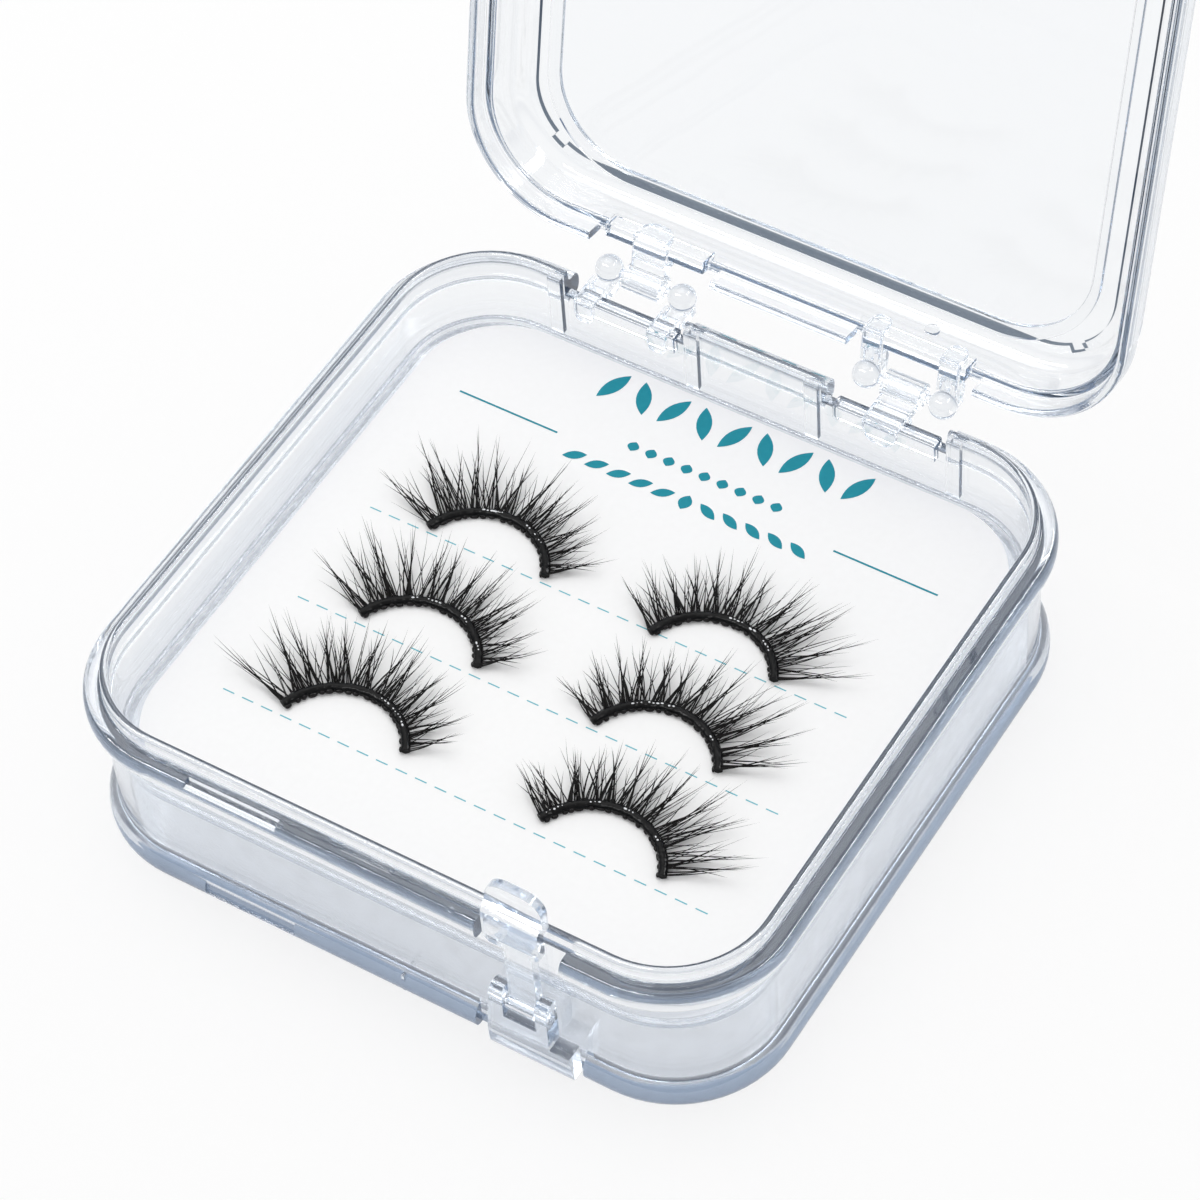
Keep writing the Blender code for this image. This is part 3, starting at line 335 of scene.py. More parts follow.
class LashSettings(PropertyGroup):
    """Number and thickness of the lash fibres."""

    spikes: IntProperty(
        name="Spikes",
        description="Tall spikes of fibres along one band",
        default=12,
        min=4,
    )
    spike_fibres: IntProperty(
        name="Fibres in a spike",
        description="Fibres that lean together into one tall spike",
        default=5,
        min=3,
    )
    low_fibres: IntProperty(
        name="Fibres between spikes",
        description="Fibres of the low spike between two tall ones",
        default=3,
        min=2,
    )
    loose_fibres: IntProperty(
        name="Loose fibres",
        description="Fine fibres that cross between the spikes",
        default=38,
        min=0,
    )
    fibre_radius: FloatProperty(
        name="Fibre radius",
        description="Radius of a fibre a little above its root",
        default=0.082 * MM,
        unit="LENGTH",
        precision=6,
    )


class StageSettings(PropertyGroup):
    """Light and floor."""

    floor: colour_setting("Floor", "Colour of the paper sweep", "#fafafa")
    key_power: FloatProperty(
        name="Overhead light",
        description="Power of the large soft lamp above, in watts",
        default=2.5,
        min=0.0,
    )
    strip_power: FloatProperty(
        name="Strip lights",
        description="Power of each narrow lamp, which only gloss and clear plastic show, in watts",
        default=3.7,
        min=0.0,
    )
    fill: FloatProperty(
        name="Fill",
        description="Strength of the even light from all round",
        default=0.74,
        min=0.0,
    )


def clear_polystyrene(shell, name, haze, ripple, density, mirror=None):
    """Crystal polystyrene, injection moulded in a polished mould.

    Clear and hard, with an index near 1.59, so edges flash white and dark. Long paths through it
    turn slate, and the walls are a little wavy from the mould. A path that is still inside a wall
    after many inner reflections gets a painted slate glow, an emission from the surface that
    stands in for the light a real wall would scatter out. A mirror colour dims what the surface
    mirrors when it is seen from straight ahead.
    """
    material, tree, output = new_material(name)
    place = add_node(tree, "ShaderNodeTexCoord")
    waves = add_node(
        tree,
        "ShaderNodeTexNoise",
        {"Scale": 1 / (7 * MM), "Detail": 1.0, "Roughness": 0.4},
        {"Vector": place.outputs["Object"]},
    )
    bump = add_node(
        tree,
        "ShaderNodeBump",
        {"Strength": ripple, "Distance": 0.4 * MM},
        {"Height": waves.outputs["Fac"]},
    )
    scuffs = add_node(
        tree,
        "ShaderNodeTexNoise",
        {"Scale": 1 / (2.5 * MM), "Detail": 3.0},
        {"Vector": place.outputs["Object"]},
    )
    gloss = add_node(
        tree,
        "ShaderNodeMapRange",
        {"From Min": 0.35, "From Max": 0.8, "To Min": haze, "To Max": haze * 3},
        {"Value": scuffs.outputs["Fac"]},
    )
    path = add_node(tree, "ShaderNodeLightPath")
    # Painted glow: past HELD_BOUNCES the surface gives off a faint slate emission
    held = add_node(
        tree,
        "ShaderNodeMath",
        {"operation": "GREATER_THAN", 1: HELD_BOUNCES},
        {0: path.outputs["Ray Depth"]},
    )
    glow = add_node(
        tree, "ShaderNodeMath", {"operation": "MULTIPLY", 1: PAINTED_GLOW_SHARE}, {0: held.outputs[0]}
    )
    plastic = add_node(
        tree,
        "ShaderNodeBsdfPrincipled",
        {
            "Base Color": shell.tint,
            "IOR": CLEAR_INDEX,
            "Transmission Weight": 1.0,
            "Metallic": 0.0,
            "Emission Color": shell.painted_glow_tint,
        },
        {
            "Roughness": gloss.outputs["Result"],
            "Normal": bump.outputs["Normal"],
            "Emission Strength": glow.outputs[0],
        },
    )
    if mirror:
        slant = add_node(tree, "ShaderNodeFresnel", {"IOR": CLEAR_INDEX})
        image = add_node(
            tree,
            "ShaderNodeMixRGB",
            {"Color1": linear_colour(mirror), "Color2": linear_colour("#ffffff")},
            {"Fac": slant.outputs[0]},
        )
        tree.links.new(image.outputs[0], plastic.inputs["Specular Tint"])
    passing = add_node(tree, "ShaderNodeBsdfTransparent", {"Color": linear_colour("#fdfdfe")})
    lamps = add_node(
        tree,
        "ShaderNodeMath",
        {"operation": "MAXIMUM"},
        {0: path.outputs["Is Shadow Ray"], 1: path.outputs["Is Diffuse Ray"]},
    )
    surface = add_node(
        tree,
        "ShaderNodeMixShader",
        None,
        {0: lamps.outputs[0], 1: plastic.outputs[0], 2: passing.outputs[0]},
    )
    depth = add_node(
        tree,
        "ShaderNodeVolumeAbsorption",
        {"Color": shell.depth_tint, "Density": density},
    )
    tree.links.new(surface.outputs[0], output.inputs["Surface"])
    tree.links.new(depth.outputs[0], output.inputs["Volume"])
    return material


def coated_card(card):
    """Coated white board, printed offset: smooth and matt, with a faint mottle."""
    material, tree, output = new_material("coated_card")
    place = add_node(tree, "ShaderNodeTexCoord")
    mottle = add_node(
        tree,
        "ShaderNodeTexNoise",
        {"Scale": 1 / (0.9 * MM), "Detail": 4.0},
        {"Vector": place.outputs["Object"]},
    )
    tone = add_node(
        tree,
        "ShaderNodeMixRGB",
        {"blend_type": "MIX", "Color1": card.paper, "Color2": linear_colour("#f8f8f8")},
        {"Fac": mottle.outputs["Fac"]},
    )
    grain = add_node(
        tree,
        "ShaderNodeTexNoise",
        {"Scale": 1 / (0.25 * MM), "Detail": 2.0},
        {"Vector": place.outputs["Object"]},
    )
    bump = add_node(
        tree,
        "ShaderNodeBump",
        {"Strength": 0.12, "Distance": 0.02 * MM},
        {"Height": grain.outputs["Fac"]},
    )
    shader = add_node(
        tree,
        "ShaderNodeBsdfPrincipled",
        {"Roughness": 0.55, "IOR": 1.45, "Specular IOR Level": 0.2},
        {"Base Color": tone.outputs[0], "Normal": bump.outputs["Normal"]},
    )
    tree.links.new(shader.outputs[0], output.inputs["Surface"])
    return material


def offset_ink(name, colour, lighter):
    """Offset ink on coated board: even, with a slight satin mottle."""
    material, tree, output = new_material(name)
    place = add_node(tree, "ShaderNodeTexCoord")
    mottle = add_node(
        tree,
        "ShaderNodeTexNoise",
        {"Scale": 1 / (0.6 * MM), "Detail": 3.0},
        {"Vector": place.outputs["Object"]},
    )
    tone = add_node(
        tree,
        "ShaderNodeMixRGB",
        {"blend_type": "MIX", "Color1": colour, "Color2": lighter},
        {"Fac": mottle.outputs["Fac"]},
    )
    shader = add_node(
        tree,
        "ShaderNodeBsdfPrincipled",
        {"Roughness": 0.5, "IOR": 1.5, "Specular IOR Level": 0.15},
        {"Base Color": tone.outputs[0]},
    )
    tree.links.new(shader.outputs[0], output.inputs["Surface"])
    return material


def latex_glue(name="latex_glue_black", colour="#060607", roughness=0.14):
    """Black latex glue, dried on the thread: glossy, lumpy, almost wet."""
    material, tree, output = new_material(name)
    place = add_node(tree, "ShaderNodeTexCoord")
    lumps = add_node(
        tree,
        "ShaderNodeTexNoise",
        {"Scale": 1 / (0.5 * MM), "Detail": 2.0},
        {"Vector": place.outputs["Object"]},
    )
    bump = add_node(
        tree,
        "ShaderNodeBump",
        {"Strength": 0.7, "Distance": 0.15 * MM},
        {"Height": lumps.outputs["Fac"]},
    )
    shader = add_node(
        tree,
        "ShaderNodeBsdfPrincipled",
        {
            "Base Color": linear_colour(colour),
            "Roughness": roughness,
            "IOR": 1.5,
            "Specular IOR Level": 0.12,
        },
        {"Normal": bump.outputs["Normal"]},
    )
    tree.links.new(shader.outputs[0], output.inputs["Surface"])
    return material


def lash_fibre():
    """Fine tapered synthetic lash fibre, soft black with a low satin sheen."""
    material, tree, output = new_material("lash_fibre_black")
    place = add_node(tree, "ShaderNodeTexCoord")
    streaks = add_node(
        tree,
        "ShaderNodeTexNoise",
        {"Scale": 1 / (0.8 * MM), "Detail": 2.0},
        {"Vector": place.outputs["Object"]},
    )
    tone = add_node(
        tree,
        "ShaderNodeMixRGB",
        {
            "blend_type": "MIX",
            "Color1": linear_colour("#060505"),
            "Color2": linear_colour("#12100f"),
        },
        {"Fac": streaks.outputs["Fac"]},
    )
    shader = add_node(
        tree,
        "ShaderNodeBsdfPrincipled",
        {"Roughness": 0.5, "IOR": 1.53, "Specular IOR Level": 0.15},
        {"Base Color": tone.outputs[0]},
    )
    tree.links.new(shader.outputs[0], output.inputs["Surface"])
    return material


def pick(*pieces):
    """Select these pieces and nothing else, with the first one active."""
    bpy.ops.object.select_all(action="DESELECT")
    for piece in pieces:
        piece.select_set(True)
    bpy.context.view_layer.objects.active = pieces[0]


def start_line(name, place):
    """A new mesh of one vertex at a place, left in edit mode."""
    bpy.ops.object.select_all(action="DESELECT")
    bpy.ops.mesh.primitive_plane_add(size=MM, location=(0, 0, 0), enter_editmode=True)
    bpy.context.object.name = name
    bpy.ops.mesh.merge(type="CENTER")
    bpy.ops.transform.translate(value=tuple(place))


def extend_line(places):
    """Extrude the last vertex from each place to the next."""
    for before, after in zip(places, places[1:]):
        bpy.ops.mesh.extrude_region_move(
            TRANSFORM_OT_translate={"value": tuple(Vector(after) - Vector(before))}
        )


def select_places(places):
    """Select the vertices at these places and nothing else."""
    work = bmesh.from_edit_mesh(bpy.context.object.data)
    for vert in work.verts:
        vert.select = any((vert.co - place).length < 1e-7 for place in places)
    work.select_flush_mode()
    bmesh.update_edit_mesh(bpy.context.object.data)


def tidy_body():
    """Merge what meets, close open ends and turn every face outwards."""
    bpy.ops.mesh.select_all(action="SELECT")
    bpy.ops.mesh.remove_doubles(threshold=1e-6)
    bpy.ops.mesh.fill_holes(sides=0)
    bpy.ops.mesh.select_all(action="SELECT")
    bpy.ops.mesh.normals_make_consistent(inside=False)
    bpy.ops.object.mode_set(mode="OBJECT")
    return bpy.context.object


def round_tray(name, section, inset, low, steps):
    """Draw a section, round its corners, and carry it round the case's outline."""
    half_x = HALF_WIDTH - inset
    half_y = HALF_DEPTH - inset
    radius = CASE_RADIUS - inset
    places = [
        Vector((half_x - ahead * MM, radius - half_y, low + height * MM))
        for ahead, height, _ in section
    ]
    start_line(name, places[0])
    extend_line(places)
    for size in sorted({size for _, _, size in section if size}):
        select_places([place for place, row in zip(places, section) if row[2] == size])
        bpy.ops.mesh.bevel(
            offset=size * MM, segments=8 if size > 1 else 4, affect="VERTICES", clamp_overlap=True
        )
    bpy.ops.mesh.select_all(action="SELECT")
    run_x, run_y = half_x - radius, half_y - radius
    for step, centre in (
        ((0, 2 * run_y, 0), (run_x, run_y, 0)),
        ((-2 * run_x, 0, 0), (-run_x, run_y, 0)),
        ((0, -2 * run_y, 0), (-run_x, -run_y, 0)),
        ((2 * run_x, 0, 0), (run_x, -run_y, 0)),
    ):
        bpy.ops.mesh.extrude_region_move(TRANSFORM_OT_translate={"value": step})
        bpy.ops.mesh.spin(steps=steps, angle=-math.pi / 2, center=centre, axis=(0, 0, 1))
    return tidy_body()


def rounded_plate(name, half_x, half_y, radius, low, high, steps):
    """A flat plate with round corners between two heights."""
    bpy.ops.object.select_all(action="DESELECT")
    bpy.ops.mesh.primitive_plane_add(size=1, location=(0, 0, 0), enter_editmode=True)
    bpy.context.object.name = name
    bpy.ops.transform.resize(value=(2 * half_x, 2 * half_y, 1))
    bpy.ops.transform.translate(value=(0, 0, low))
    bpy.ops.mesh.bevel(offset=radius, segments=steps, affect="VERTICES")
    bpy.ops.mesh.select_all(action="SELECT")
    bpy.ops.mesh.extrude_region_move(TRANSFORM_OT_translate={"value": (0, 0, high - low)})
    return tidy_body()


def block(name, low, high):
    """A box between two corners given in millimetres."""
    low, high = Vector(low) * MM, Vector(high) * MM
    bpy.ops.object.select_all(action="DESELECT")
    bpy.ops.mesh.primitive_cube_add(size=1, location=(0, 0, 0), enter_editmode=True)
    bpy.context.object.name = name
    bpy.ops.transform.resize(value=tuple(high - low))
    bpy.ops.transform.translate(value=tuple((low + high) / 2))
    bpy.ops.object.mode_set(mode="OBJECT")
    return bpy.context.object


def apply_modifier(piece, kind, **settings):
    """Add a modifier to a piece and apply it."""
    pick(piece)
    modifier = piece.modifiers.new("step", kind)
    for key, value in settings.items():
        setattr(modifier, key, value)
    bpy.ops.object.modifier_apply(modifier=modifier.name)


def combine(piece, tool, operation):
    """Join a tool to a piece or cut it away, and remove the tool."""
    apply_modifier(piece, "BOOLEAN", operation=operation, solver="EXACT", object=tool)
    bpy.data.objects.remove(tool, do_unlink=True)


def add_boxes(piece, name, boxes, operation="UNION"):
    """Join boxes to a piece, or cut them away."""
    for low, high in boxes:
        combine(piece, block(name, low, high), operation)


def break_edges(piece, width):
    """Round the edges that a cut left sharp."""
    apply_modifier(
        piece,
        "BEVEL",
        width=width,
        segments=2,
        limit_method="ANGLE",
        angle_limit=math.radians(40.0),
        use_clamp_overlap=True,
    )


def copy_to(model, matrix, into):
    """Add a copy of a model, with its own mesh, moved by a matrix."""
    mesh = model.data.copy()
    mesh.transform(matrix)
    copy = bpy.data.objects.new(model.name + "_copy", mesh)
    bpy.context.scene.collection.objects.link(copy)
    into.append(copy)


def finish_piece(piece, material, body, slot, *nodes, smooth=MOULDED_SMOOTH):
    """Shade a piece, give it its material and put it in place of its CAD nodes."""
    pick(piece)
    bpy.ops.object.shade_smooth_by_angle(angle=math.radians(smooth))
    if smooth < ROUND_SMOOTH:
        apply_modifier(piece, "WEIGHTED_NORMAL", keep_sharp=True, weight=80)
    piece.data.name = piece.name
    piece.data.materials.clear()
    piece.data.materials.append(material)
    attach(piece, body)
    if nodes:
        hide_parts(*nodes)
    return piece


def refined_copy(node, name, width):
    """A copy of a CAD node with its faces joined up and its edges broken."""
    source = frame["nodes"][node]
    piece = bpy.data.objects.new(name, source.data.copy())
    bpy.context.scene.collection.objects.link(piece)
    pick(piece)
    bpy.ops.object.mode_set(mode="EDIT")
    bpy.ops.mesh.select_all(action="SELECT")
    bpy.ops.mesh.remove_doubles(threshold=2e-6)
    bpy.ops.mesh.dissolve_limited(angle_limit=math.radians(1.0))
    bpy.ops.object.mode_set(mode="OBJECT")
    break_edges(piece, width)
    return piece


def shared_clear():
    """The shells' plastic, made once."""
    name = "polystyrene_clear_moulded"
    shell = bpy.context.scene.lash_shell
    made = bpy.data.materials.get(name)
    return made or clear_polystyrene(shell, name, haze=0.015, ripple=0.08, density=shell.depth_density)


def add_rail(piece, middle, low, high):
    """Join the rounded rail that a hinge's clips straddle, between two heights."""
    rail = block("rail", (middle - RAIL_HALF, 40.3, low), (middle + RAIL_HALF, 42.3, high))
    break_edges(rail, RAIL_ROUND)
    combine(piece, rail, "UNION")


def gate_dot(x, y, z, size):
    """A small round gate mark left by the mould."""
    bpy.ops.object.select_all(action="DESELECT")
    bpy.ops.mesh.primitive_ico_sphere_add(subdivisions=3, radius=size * MM, location=(0, 0, 0))
    dot = bpy.context.object
    dot.data.transform(Matrix.Translation((x * MM, y * MM, z * MM)))
    return dot


class LASHCASE_OT_base_tray(Operator):
    """Model the bottom tray with its lip, foot, hinge notches and rails"""

    bl_idname = "lashcase.base_tray"
    bl_label = "Base tray"

    def execute(self, context):
        shell = context.scene.lash_shell
        tray = round_tray("case_base", BASE_SECTION, 0, 0, shell.corner_steps)
        deep = HALF_DEPTH / MM
        hinge_z = HINGE_POINT.z / MM
        for side in (-1, 1):
            middle = side * HINGE_X / MM
            left, right = middle - NOTCH_HALF, middle + NOTCH_HALF
            notches = (
                ((left, deep - 1.8, 17.8), (right, deep + 1, hinge_z + 3)),
                ((left, deep - 4.2, 20.3), (right, deep + 1, hinge_z + 3)),
            )
            add_boxes(tray, "notch", notches, "DIFFERENCE")
            add_rail(tray, middle, 18.0, 20.9)
            ribs = (
                ((middle - 10.4, 39.85, 14.1), (middle - 8.6, 41.05, 23.5)),
                ((middle + 8.6, 39.85, 14.1), (middle + 10.4, 41.05, 23.5)),
            )
            add_boxes(tray, "rib", ribs)
        add_boxes(tray, "front_cut", FRONT_CUTS, "DIFFERENCE")
        break_edges(tray, shell.cut_round)
        add_boxes(tray, "mark", FRONT_MARKS)
        for x, y, z, size in GATE_DOTS:
            combine(tray, gate_dot(x, y, z, size), "UNION")
        finish_piece(tray, shared_clear(), "base", "clear_polystyrene", "base_shell")
        return {"FINISHED"}


class LASHCASE_OT_lid_tray(Operator):
    """Model the lid with its stepped rim and set-down window"""

    bl_idname = "lashcase.lid_tray"
    bl_label = "Lid tray"

    def execute(self, context):
        shell = context.scene.lash_shell
        lid = round_tray("case_lid", LID_SECTION, 0, LID_RIM, shell.corner_steps)
        pane_top = LID_TOP - WINDOW_DEPTH
        pane = rounded_plate(
            "pane",
            WINDOW_HALF_X + LID_WALL,
            WINDOW_HALF_Y + LID_WALL,
            WINDOW_RADIUS + LID_WALL,
            pane_top - LID_WALL,
            pane_top,
            shell.corner_steps,
        )
        combine(lid, pane, "UNION")
        recess = rounded_plate(
            "recess",
            WINDOW_HALF_X,
            WINDOW_HALF_Y,
            WINDOW_RADIUS,
            pane_top,
            LID_TOP + MM,
            shell.corner_steps,
        )
        combine(lid, recess, "DIFFERENCE")
        deep = HALF_DEPTH / MM
        hinge_z = HINGE_POINT.z / MM
        for side in (-1, 1):
            middle = side * HINGE_X / MM
            left, right = middle - NOTCH_HALF, middle + NOTCH_HALF
            notches = (
                ((left, deep - 1.85, hinge_z - 3), (right, deep + 1, 26.5)),
                ((left, deep - 4.2, hinge_z - 3), (right, deep + 1, 24.0)),
            )
            add_boxes(lid, "notch", notches, "DIFFERENCE")
            add_rail(lid, middle, 23.4, 26.3)
        bpy.ops.object.select_all(action="DESELECT")
        bpy.ops.mesh.primitive_cylinder_add(
            vertices=28,
            radius=0.9 * MM,
            depth=0.7 * MM,
            location=(HINGE_X, HALF_DEPTH - 3.15 * MM, LID_RIM + 5.6 * MM),
            rotation=(math.pi / 2, 0, 0),
        )
        bpy.ops.object.transform_apply(location=True, rotation=True, scale=True)
        combine(lid, bpy.context.object, "UNION")
        break_edges(lid, shell.cut_round)
        window = [
            face.index
            for face in lid.data.polygons
            if abs(face.normal.z) > 0.99
            and abs(face.center.z - pane_top + LID_WALL / 2) < LID_WALL
            and abs(face.center.x) < WINDOW_HALF_X
            and abs(face.center.y) < WINDOW_HALF_Y
        ]
        lid.data.transform(LID_TURN)
        finish_piece(lid, shared_clear(), "lid", "clear_polystyrene", "lid_shell")
        # Seen from straight ahead, the wide pane mirrors less than the edges do
        pane_clear = clear_polystyrene(
            shell,
            "polystyrene_clear_pane",
            haze=0.015,
            ripple=0.04,
            density=shell.depth_density,
            mirror="#303134",
        )
        lid.data.materials.append(pane_clear)
        for index in window:
            lid.data.polygons[index].material_index = 1
        return {"FINISHED"}


class LASHCASE_OT_platform(Operator):
    """Model the skirted platform under the card"""

    bl_idname = "lashcase.platform"
    bl_label = "Platform"

    def execute(self, context):
        shell = context.scene.lash_shell
        inset = HALF_WIDTH - PLATFORM_HIGH.x
        piece = round_tray(
            "card_platform", PLATFORM_SECTION, inset, PLATFORM_LOW.z, shell.corner_steps
        )
        plastic = clear_polystyrene(
            shell, "polystyrene_platform", haze=0.09, ripple=0.06, density=10.0
        )
        finish_piece(piece, plastic, "base", "clear_platform", "insert_platform")
        return {"FINISHED"}


class LASHCASE_OT_card(Operator):
    """Cut the card and round its edges"""

    bl_idname = "lashcase.card"
    bl_label = "Card"

    def execute(self, context):
        piece = rounded_plate(
            "lash_card", CARD_HIGH.x, CARD_HIGH.y, 11 * MM, CARD_LOW.z, CARD_HIGH.z, 24
        )
        break_edges(piece, 0.08 * MM)
        material = coated_card(context.scene.lash_card)
        finish_piece(piece, material, "base", "white_card", "insert_card")
        return {"FINISHED"}


def ink_patch(name, length, width):
    """One flat mark of ink, centred, with rounded ends."""
    bpy.ops.object.select_all(action="DESELECT")
    bpy.ops.mesh.primitive_plane_add(size=1, location=(0, 0, 0), enter_editmode=True)
    bpy.context.object.name = name
    bpy.ops.transform.resize(value=(length * MM, width * MM, 1))
    bpy.ops.mesh.bevel(offset=width * 0.2 * MM, segments=2, affect="VERTICES")
    bpy.ops.object.mode_set(mode="OBJECT")
    return bpy.context.object


def ink_leaf(name, length, width):
    """One flat pointed leaf, standing along Y."""
    bpy.ops.object.select_all(action="DESELECT")
    bpy.ops.mesh.primitive_circle_add(
        vertices=24, radius=1, fill_type="NGON", location=(0, 0, 0), enter_editmode=True
    )
    bpy.context.object.name = name
    work = bmesh.from_edit_mesh(bpy.context.object.data)
    for vert in work.verts:
        vert.co.x *= (1 - vert.co.y**2) ** 0.5
    bmesh.update_edit_mesh(bpy.context.object.data)
    bpy.ops.transform.resize(value=(width / 2 * MM, length / 2 * MM, 1))
    bpy.ops.object.mode_set(mode="OBJECT")
    return bpy.context.object


def stamp(model, places, into):
    """Copy a flat mark to each place: X, Y in millimetres and a turn in degrees."""
    for x, y, turn in places:
        at = Matrix.Translation((x * MM, y * MM, CARD_HIGH.z + INK_LIFT))
        copy_to(model, at @ Matrix.Rotation(math.radians(turn), 4, "Z"), into)
    bpy.data.objects.remove(model, do_unlink=True)


def join_pieces(name, pieces):
    """Join loose copies into one object."""
    pick(*pieces)
    bpy.ops.object.join()
    joined = bpy.context.object
    joined.name = name
    return joined


class LASHCASE_OT_card_print(Operator):
    """Print the rules, the dashed lines and a plain leaf ornament on the card"""

    bl_idname = "lashcase.card_print"
    bl_label = "Card print"

    def execute(self, context):
        card = context.scene.lash_card
        marks = []
        rule_middle = sum(RULE_ENDS) / 2
        rule = ink_patch("rule", RULE_ENDS[1] - RULE_ENDS[0], RULE_WIDTH)
        stamp(rule, ((-rule_middle, RULE_Y, 0), (rule_middle, RULE_Y, 0)), marks)
        tall = [(x * 4.2, 35.9, 24 if x % 2 else -24) for x in range(-4, 5)]
        stamp(ink_leaf("tall_leaf", 5.2, 1.9), tall, marks)
        beads = [(x * 2.45, 28.8, 0) for x in range(-4, 5)]
        stamp(ink_leaf("bead", 1.5, 1.5), beads, marks)
        low = [(x * 3.05, 24.3, 62 if x > 0 else -62) for x in range(-5, 6) if x]
        stamp(ink_leaf("low_leaf", 3.0, 1.25), low, marks)
        stamp(ink_leaf("low_bead", 2.3, 1.7), ((0, 24.3, 0),), marks)
        deep = offset_ink("offset_ink_teal", card.ink, linear_colour("#1b93a4"))
        finish_piece(join_pieces("card_ornament", marks), deep, "base", "white_card")
        dashes = []
        count = int(2 * DASH_END / DASH_PITCH)
        start = -(count - 1) * DASH_PITCH / 2
        places = [(start + i * DASH_PITCH, y, 0) for y in DASH_LINES_Y for i in range(count)]
        stamp(ink_patch("dash", DASH_LENGTH, DASH_WIDTH), places, dashes)
        pale = offset_ink("offset_ink_pale", card.pale_ink, linear_colour("#7cc6d2"))
        finish_piece(join_pieces("card_dashes", dashes), pale, "base", "white_card")
        return {"FINISHED"}


def lash_place(number):
    """Where one lash lies, and on which side its long fibres are."""
    outer = -1 if number <= 3 else 1
    shift_x, shift_y, turn = LASH_PLACES[number - 1]
    x = outer * LASH_COLUMN_X + shift_x * LASH_CHORD
    y = LASH_FIRST_Y - (number - 1) % 3 * LASH_LINE_PITCH + shift_y * LASH_CHORD
    at = Matrix.Translation((x, y, LASH_FLOOR)) @ Matrix.Rotation(math.radians(turn), 4, "Z")
    return at, outer


def arc_point(share, radius=LASH_RADIUS):
    """A point on the band's arc, from its left end at 0 to its right end at 1."""
    angle = LASH_HALF_ANGLE * (2 * share - 1)
    return Vector((radius * math.sin(angle), radius * math.cos(angle) - LASH_RADIUS + LASH_RISE, 0))


def unit_fibre():
    """One straight tapered fibre of unit length, standing on the origin, thicker at its root."""
    bpy.ops.object.select_all(action="DESELECT")
    bpy.ops.mesh.primitive_circle_add(
        vertices=4, radius=1.5, fill_type="NGON", location=(0, 0, 0), enter_editmode=True
    )
    for step, taper in ((0.07, 0.7), (0.15, 0.93), (0.18, 0.86), (0.2, 0.76), (0.2, 0.58)):
        bpy.ops.mesh.extrude_region_move(TRANSFORM_OT_translate={"value": (0, 0, step)})
        bpy.ops.transform.resize(value=(taper, taper, 1))
    bpy.ops.mesh.extrude_region_move(TRANSFORM_OT_translate={"value": (0, 0, 0.2)})
    bpy.ops.mesh.merge(type="CENTER")
    return tidy_body()


def reach_at(share, outer):
    """How long the fibres are at a place along the band, in metres."""
    outerness = share if outer > 0 else 1 - share
    for (near, reach_near), (far, reach_far) in zip(FIBRE_REACH, FIBRE_REACH[1:]):
        if near <= outerness <= far:
            part = (outerness - near) / (far - near)
            return (reach_near + (reach_far - reach_near) * part) * MM


def heading(degrees):
    """The flat direction that is turned this far to the right of straight ahead."""
    return Vector((math.sin(math.radians(degrees)), math.cos(math.radians(degrees)), 0))


def fan_at(share):
    """The direction of the fibres at a place along the band, in degrees."""
    return math.degrees(LASH_HALF_ANGLE) * 0.97 * (2 * share - 1)


def rooted(share, chance):
    """A root on the band's outer side."""
    root = arc_point(min(max(share, 0.006), 0.994), LASH_RADIUS - chance.uniform(0.1, 0.5) * MM)
    root.z = chance.uniform(0.3, 0.8) * MM
    return root


def spike_lines(middle, count, outer, chance, scale, radius):
    """The fibres of one spike: they lean together, cross near its top and part again."""
    reach = reach_at(middle, outer) * scale
    aim = fan_at(middle) + outer * 3 + chance.uniform(-8, 8)
    ahead, across = heading(aim), heading(aim + 90)
    foot = arc_point(middle)
    spread = chance.uniform(0.45, 0.85)
    lift = chance.uniform(0.8, 3.0) * MM
    lines = []
    for strand in range(count):
        off = 2 * strand / (count - 1) - 1 + chance.uniform(-0.18, 0.18)
        root = rooted(middle + off * spread * MM / (2 * LASH_RADIUS * LASH_HALF_ANGLE), chance)
        length = reach * (1 - 0.3 * min(abs(off), 1) ** 1.5) * chance.uniform(0.82, 1.0)
        tip = foot + ahead * length - across * off * chance.uniform(0.3, 1.1) * MM
        tip.z = root.z + lift * length / reach
        bend = root.lerp(tip, 0.5) + across * (off * 0.35 + chance.uniform(-0.3, 0.3)) * MM
        bend.z = root.z + 0.2 * lift
        lines.append((root, bend, tip, radius * chance.uniform(0.75, 1.2)))
    return lines


def loose_line(outer, chance, radius):
    """One fine fibre that crosses its neighbours."""
    share = chance.uniform(0.01, 0.99)
    root = rooted(share, chance)
    length = reach_at(share, outer) * chance.uniform(0.3, 0.9)
    start = fan_at(share) + chance.uniform(-24, 24)
    end = start + chance.uniform(-16, 16) + outer * 4
    bend = root + heading(start) * length * 0.5
    tip = bend + heading(end) * length * 0.5
    lift = chance.uniform(0.3, 2.6) * MM
    bend.z = root.z + 0.25 * lift
    tip.z = root.z + lift
    return root, bend, tip, radius * chance.uniform(0.5, 0.85)


def lash_lines(settings, outer, chance):
    """Every fibre of one lash: tall spikes, low spikes between them, leaders and loose ones."""
    lines = []
    for index in range(settings.spikes):
        middle = (index + 0.35 + chance.uniform(-0.12, 0.12)) / (settings.spikes - 0.3)
        scale = chance.uniform(0.84, 1.0)
        radius = settings.fibre_radius
        lines += spike_lines(middle, settings.spike_fibres, outer, chance, scale, radius)
        lines += spike_lines(middle, 2, outer, chance, scale * 0.92, radius * 1.35)
        if index < settings.spikes - 1:
            between = (index + 0.85 + chance.uniform(-0.1, 0.1)) / (settings.spikes - 0.3)
            scale = chance.uniform(0.5, 0.72)
            lines += spike_lines(between, settings.low_fibres, outer, chance, scale, radius * 0.8)
    for _ in range(settings.loose_fibres):
        lines.append(loose_line(outer, chance, settings.fibre_radius))
    return lines


